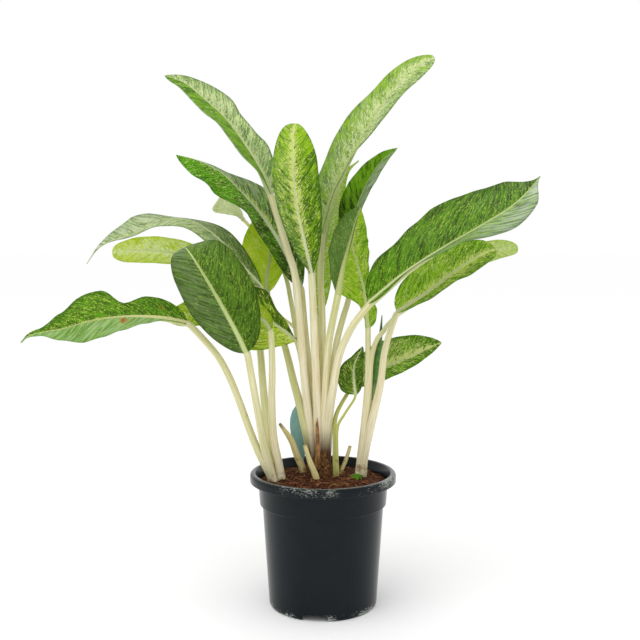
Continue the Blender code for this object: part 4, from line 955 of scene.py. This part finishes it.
def skin_finish(name, dark, light, roughness, size, low_color=None):
    """A thin skin that drifts between two colours over a size in millimetres, or fades low down."""
    material, add = new_finish(name)
    at = add("TexCoord")["Object"]
    grain = add("TexNoise", {"Vector": at, "Scale": 1000.0 / size, "Detail": 4.0})[0]
    tone = add("MapRange", [grain, 0.35, 0.65])[0]
    color = add("Mix", {0: tone, 6: dark, 7: light}, data_type="RGBA")[2]
    if low_color:
        height = add("SeparateXYZ", [at])[2]
        low = add("MapRange", [height, 0.238, 0.262, 0.9, 0.0])[0]
        color = add("Mix", {0: low, 6: color, 7: low_color}, data_type="RGBA")[2]
    dress(material, color, grain, strength=0.3, depth=0.0004, roughness=roughness)
    return material


def make_pot():
    """Draw the wall's section point by point, spin it round the axis and cut the skirt's notches."""
    section = [Vector((r, 0, z)) * MM for r, z in POT_SECTION]
    deselect_all()
    bpy.ops.mesh.primitive_plane_add(size=0.001)
    pot = bpy.context.object
    bpy.ops.object.mode_set(mode="EDIT")
    bpy.ops.mesh.select_all(action="SELECT")
    bpy.ops.mesh.merge(type="CENTER")
    bpy.ops.transform.translate(value=section[0])
    for here, there in zip(section, section[1:]):
        bpy.ops.mesh.extrude_region_move(TRANSFORM_OT_translate=dict(value=there - here))
    bpy.ops.mesh.select_all(action="SELECT")
    bpy.ops.mesh.spin(steps=POT_STEPS, angle=math.tau, center=(0, 0, 0), axis=(0, 0, 1))
    bpy.ops.mesh.select_all(action="SELECT")
    bpy.ops.mesh.remove_doubles(threshold=0.00002)
    bpy.ops.mesh.dissolve_degenerate(threshold=0.00001)
    bpy.ops.mesh.normals_make_consistent(inside=False)
    bpy.ops.object.mode_set(mode="OBJECT")
    for angle in NOTCH_ANGLES:
        cut_notch(pot, math.radians(angle))
    settle("nursery_pot", [pot], pot_finish(), "pot", "pot", angle=40)


def cut_notch(pot, angle):
    """Cut one round-cornered notch in the skirt."""
    deselect_all()
    place = (BASE_R * MM * math.cos(angle), BASE_R * MM * math.sin(angle), 0)
    size = (NOTCH_DEPTH * MM, NOTCH_WIDTH * MM, 2 * NOTCH_HEIGHT * MM)
    bpy.ops.mesh.primitive_cube_add(size=1.0, location=place, rotation=(0, 0, angle), scale=size)
    cutter = bpy.context.object
    bpy.ops.object.transform_apply(location=False, rotation=False, scale=True)
    apply_modifier(cutter, "BEVEL", width=NOTCH_CORNER * MM, segments=6)
    apply_modifier(pot, "BOOLEAN", object=cutter, operation="DIFFERENCE")
    bpy.data.objects.remove(cutter)


def soil_height(x, y):
    """Height of the crumbly soil at a place, in millimetres."""
    radius = math.hypot(x, y)
    height = float(np.interp(radius, SOIL_RADII, SOIL_HEIGHTS))
    fade = float(np.interp(radius, (66, 73), (1, 0.3)))
    lumps = noise.fractal(Vector((x / LUMP_SIZE, y / LUMP_SIZE, 3.1)), 0.9, 2.1, 4)
    crumbs = noise.noise(Vector((x / CRUMB_SIZE, y / CRUMB_SIZE, 7.7)))
    return height + fade * (LUMP_HEIGHT * lumps + CRUMB_HEIGHT * crumbs)


def make_plug():
    """The plug of soil: a crumbly top, then down the pot's wall and under."""
    rings = (0, SOIL_TOP_RINGS, SOIL_TOP_RINGS + 6, SOIL_RINGS - 4, SOIL_RINGS)
    plug, around, out = grid_piece(SOIL_STEPS, SOIL_RINGS)
    angle = math.tau * around
    ring = np.round(out * SOIL_RINGS)
    radius = np.interp(ring, rings, PLUG_RADII)
    height = np.interp(ring, rings, PLUG_HEIGHTS)
    points = np.stack([radius * np.cos(angle), radius * np.sin(angle), height], 1)
    on_top = ring <= SOIL_TOP_RINGS
    points[on_top, 2] = [soil_height(x, y) for x, y, _ in points[on_top]]
    write_points(plug, points)
    close_up(plug, 0.02)
    return plug


def make_soil():
    """The soil with its crumbs, bark chips and fibres, and the moss at the foot of clump C."""
    crumbs = [make_plug()]
    spread = np.random.default_rng(8)
    crumbs += [make_crumb(*soil_place(spread, SOIL_REACH), spread.uniform(0.9, 2.6), spread)
               for _ in range(CRUMB_COUNT)]
    damp = crumb_finish("damp coir", "22110A", "623A24", 2.2)
    settle("potting_soil", crumbs, damp, "soil", "soil", angle=30)
    chips = [make_crumb(*soil_place(spread, SOIL_REACH - 1), spread.uniform(1.8, 3.6), spread, 0.45)
             for _ in range(CHIP_COUNT)]
    bark = crumb_finish("broken pine bark", "2A1710", "8A5636", 3.0)
    settle("bark_chips", chips, bark, "soil", angle=30)
    fibres = [make_fibre(*soil_place(spread, SOIL_REACH - 3), spread) for _ in range(FIBRE_COUNT)]
    settle("coir_fibres", fibres, crumb_finish("dry coir fibre", "5E3A22", "A87C50", 2.0), "soil")
    tufts = []
    for _ in range(MOSS_COUNT):
        x, y = MOSS_PLACE + spread.normal(0, MOSS_SPREAD, 2)
        away = (x - MOSS_PLACE[0]) ** 2 + (y - MOSS_PLACE[1]) ** 2
        mound = MOSS_HEIGHT * math.exp(-away / MOSS_FALL)
        tufts.append(make_crumb(x, y, spread.uniform(1.2, 2.3), spread, 1.1, mound))
    moss = crumb_finish("living cushion moss", "2E6212", "6C9A2C", 0.8)
    settle("green_moss", tufts, moss, "soil", angle=30)


def soil_place(spread, reach):
    """A random place on the soil, within a distance of the pot's axis."""
    radius = reach * math.sqrt(spread.random())
    turn = math.tau * spread.random()
    return radius * math.cos(turn), radius * math.sin(turn)


def make_crumb(x, y, size, spread, flatness=0.7, lift=0.0):
    """One crumb or chip lying on the soil, or lifted on a mound of others."""
    deselect_all()
    bpy.ops.mesh.primitive_ico_sphere_add(subdivisions=1, radius=1.0)
    crumb = bpy.context.object
    lumpy = read_points(crumb) * spread.uniform(0.75, 1.2, (len(crumb.data.vertices), 1))
    turn = spread.uniform(0, math.tau)
    along, across, up = (lumpy * (spread.uniform(1.0, 2.4), 1.0, flatness) * size).T
    turned = np.stack([along * math.cos(turn) - across * math.sin(turn),
                       along * math.sin(turn) + across * math.cos(turn), up], 1)
    write_points(crumb, turned + (x, y, soil_height(x, y) + 0.3 * size + lift))
    return crumb


def make_fibre(x, y, spread):
    """One thin curved fibre lying on the soil."""
    turn = spread.uniform(0, math.tau)
    reach = spread.uniform(3, 8)
    bow = spread.uniform(-3, 3)
    path = []
    for t in (-1.0, -0.3, 0.3, 1.0):
        px = x + reach * t * math.cos(turn) - bow * (1 - t * t) * math.sin(turn)
        py = y + reach * t * math.sin(turn) + bow * (1 - t * t) * math.cos(turn)
        scale = min(1.0, SOIL_REACH / max(1.0, math.hypot(px, py)))
        height = soil_height(px * scale, py * scale) + 0.9 + 1.6 * (1 - t * t)
        path.append((px * scale, py * scale, height))
    return make_rod(smooth_path(path, 9), FIBRE_RADII, (0, 0, 1), rows=9)


def make_old_sheath(number, x, y, radius, top, lean):
    """One rough brown stump of an old sheath, ridged lengthwise."""
    path = smooth_path([(x, y, CROWN_FOOT_Z), (x, y - 0.5, 158), (x + lean, y, top)], 30)
    stump = make_rod(path, (radius, radius, radius * 0.85, radius * 0.5), rows=40)
    points = read_points(stump) / MM
    for point in points:
        place = Vector((point[0] / 1.6, point[1] / 1.6, point[2] / 14 + 7 * number))
        ridge = noise.fractal(place, 0.7, 2.0, 3)
        away = (point - (x, y, 0)) * (1, 1, 0)
        point += unit(away + (0, 0, 0.001)) * CROWN_ROUGHNESS * ridge
    write_points(stump, points)
    return stump


def make_crown():
    """The woody remains of old sheaths and their loose strands, round the feet of clump B's stalks."""
    pieces = []
    spread = np.random.default_rng(3)
    for number, (x, y, radius, top) in enumerate(CROWN_SHEATHS):
        pieces.append(make_old_sheath(number, x, y, radius, top, spread.uniform(-2, 2)))
        for _ in range(CROWN_STRANDS):
            turn = spread.uniform(0, math.tau)
            reach = radius + spread.uniform(-0.6, 1.2)
            foot = np.array([x + reach * math.cos(turn), y + reach * math.sin(turn), CROWN_FOOT_Z])
            end = foot + (*spread.normal(0, 1.6, 2), top - CROWN_FOOT_Z + spread.uniform(-14, 5))
            middle = 0.5 * (foot + end)
            middle[0] += spread.normal(0, 0.8)
            middle[2] = 160
            pieces.append(make_rod(smooth_path([foot, middle, end], 10), CROWN_STRAND_RADII, rows=10))
    dry = crumb_finish("dry woody sheath", "24140A", "86603A", 2.2)
    settle("woody_crown", pieces, dry, "stalk", angle=40)


def make_plate(outline, y):
    """A thin upright plate with rounded edges."""
    deselect_all()
    bpy.ops.mesh.primitive_circle_add(vertices=len(outline), radius=1.0, fill_type="NGON")
    plate = bpy.context.object
    write_points(plate, np.array([(x, y, z) for x, z in outline]))
    apply_modifier(plate, "SOLIDIFY", thickness=PLATE_THICKNESS * MM, offset=0.0)
    apply_modifier(plate, "BEVEL", width=0.25 * PLATE_THICKNESS * MM, segments=2, limit_method="ANGLE")
    close_up(plate)
    return plate


def make_leaves_and_stalks():
    """Every blade with its rib, and every clump of stalks."""
    clumps = {"a": [], "b": [], "c": [], "d": []}
    for seed, leaf in enumerate(LEAVES):
        spine = Spine(leaf)
        parts = [make_blade(leaf, spine, seed), make_rib(leaf, spine, seed)]
        node = "leaf_" + leaf.name
        settle(node + "_blade", parts, leaf_finish(node, leaf.marks), "leaf", node)
        clumps[leaf.name[0]].append(make_stalk(leaf, spine))
    clumps["c"].append(make_rod(smooth_path(NEW_LEAF_FOOT, 40), (4.2, 4.2), greens=NEW_LEAF_GREENS))
    cream = stalk_finish("the large clumps", "EDE5C8", "D8CA9C", "AEBC50")
    thin = stalk_finish("clump d", "D6D294", "BDBC6C", "A8B048")
    for name, stalks in clumps.items():
        finish, slot = (thin, "thin_stalk") if name == "d" else (cream, "stalk")
        settle("clump_%s_stalks" % name, stalks, finish, slot, "stalks_" + name, angle=60)


def make_small_pieces():
    """The new leaf, the cut stubs, the dried sheath and the label."""
    leaf = make_rod(smooth_path(NEW_LEAF_PATH, 50), NEW_LEAF_RADII, blunt=0.5)
    skin = skin_finish("rolled young leaf skin", "366620", "588830", 0.42, 6.0, "A2AE84")
    settle("rolled_new_leaf", [leaf], skin, "new_leaf", "new_leaf")
    skin = stalk_finish("the cut stubs", "E8DCA4", "CDBB78", "B2B45C")
    for name, stub in STUBS.items():
        path = smooth_path(stub["path"], 40)
        piece = make_rod(path, stub["radii"], greens=STUB_GREENS, rows=40, dry=stub["dry"])
        settle(name + "_stalk", [piece], skin, "stub", name)
    skin = skin_finish("dried papery sheath", "64401E", "A87C48", 0.8, 8.0)
    settle("dried_brown_sheath", [make_plate(SHEATH_OUTLINE, SHEATH_Y)], skin, "sheath", "dried_sheath")
    skin = skin_finish("smooth polystyrene sheet", "82B2B4", "8EBCBC", 0.5, 8.0)
    settle("bare_plant_label", [make_plate(LABEL_OUTLINE, LABEL_Y)], skin, "label", "plant_label")


def make_studio():
    """A pale floor, soft light all round, and the camera at the photograph's place."""
    deselect_all()
    bpy.ops.mesh.primitive_plane_add(size=FLOOR_SIZE, location=(0, 0, -FLOOR_GAP))
    floor = name_active("studio_floor")
    material, _ = new_finish("matt white floor paint")
    paint = material.node_tree.nodes["Principled BSDF"]
    set_inputs(material.node_tree, paint, {"Base Color": (0.99, 0.99, 0.99, 1.0), "Roughness": 0.8,
                                           "Specular IOR Level": 0.0})
    floor.data.materials.append(material)
    world = bpy.data.worlds.new("soft studio")
    bpy.context.scene.world = world
    world.use_nodes = True
    sky = world.node_tree.nodes["Background"]
    set_inputs(world.node_tree, sky, {"Color": (1.0, 1.0, 1.0, 1.0), "Strength": 1.0})
    bpy.ops.object.light_add(type="AREA", location=LAMP_PLACE)
    lamp = name_active("soft overhead light")
    lamp.data.shape = "DISK"
    lamp.data.size = LAMP_SIZE
    lamp.data.energy = LAMP_POWER
    aim = Vector(LAMP_AIM) - lamp.location
    lamp.rotation_euler = aim.to_track_quat("-Z", "Y").to_euler()
    bpy.context.scene.view_settings.view_transform = "Standard"
    pitch = math.radians(CAMERA_PITCH)
    bpy.ops.object.camera_add(location=CAMERA_PLACE, rotation=(pitch, 0, 0))
    camera = name_active("camera")
    camera.data.lens = CAMERA_LENS
    camera.data.sensor_width = 36.0
    bpy.context.scene.camera = camera


make_studio()
make_pot()
make_soil()
make_leaves_and_stalks()
make_crown()
make_small_pieces()
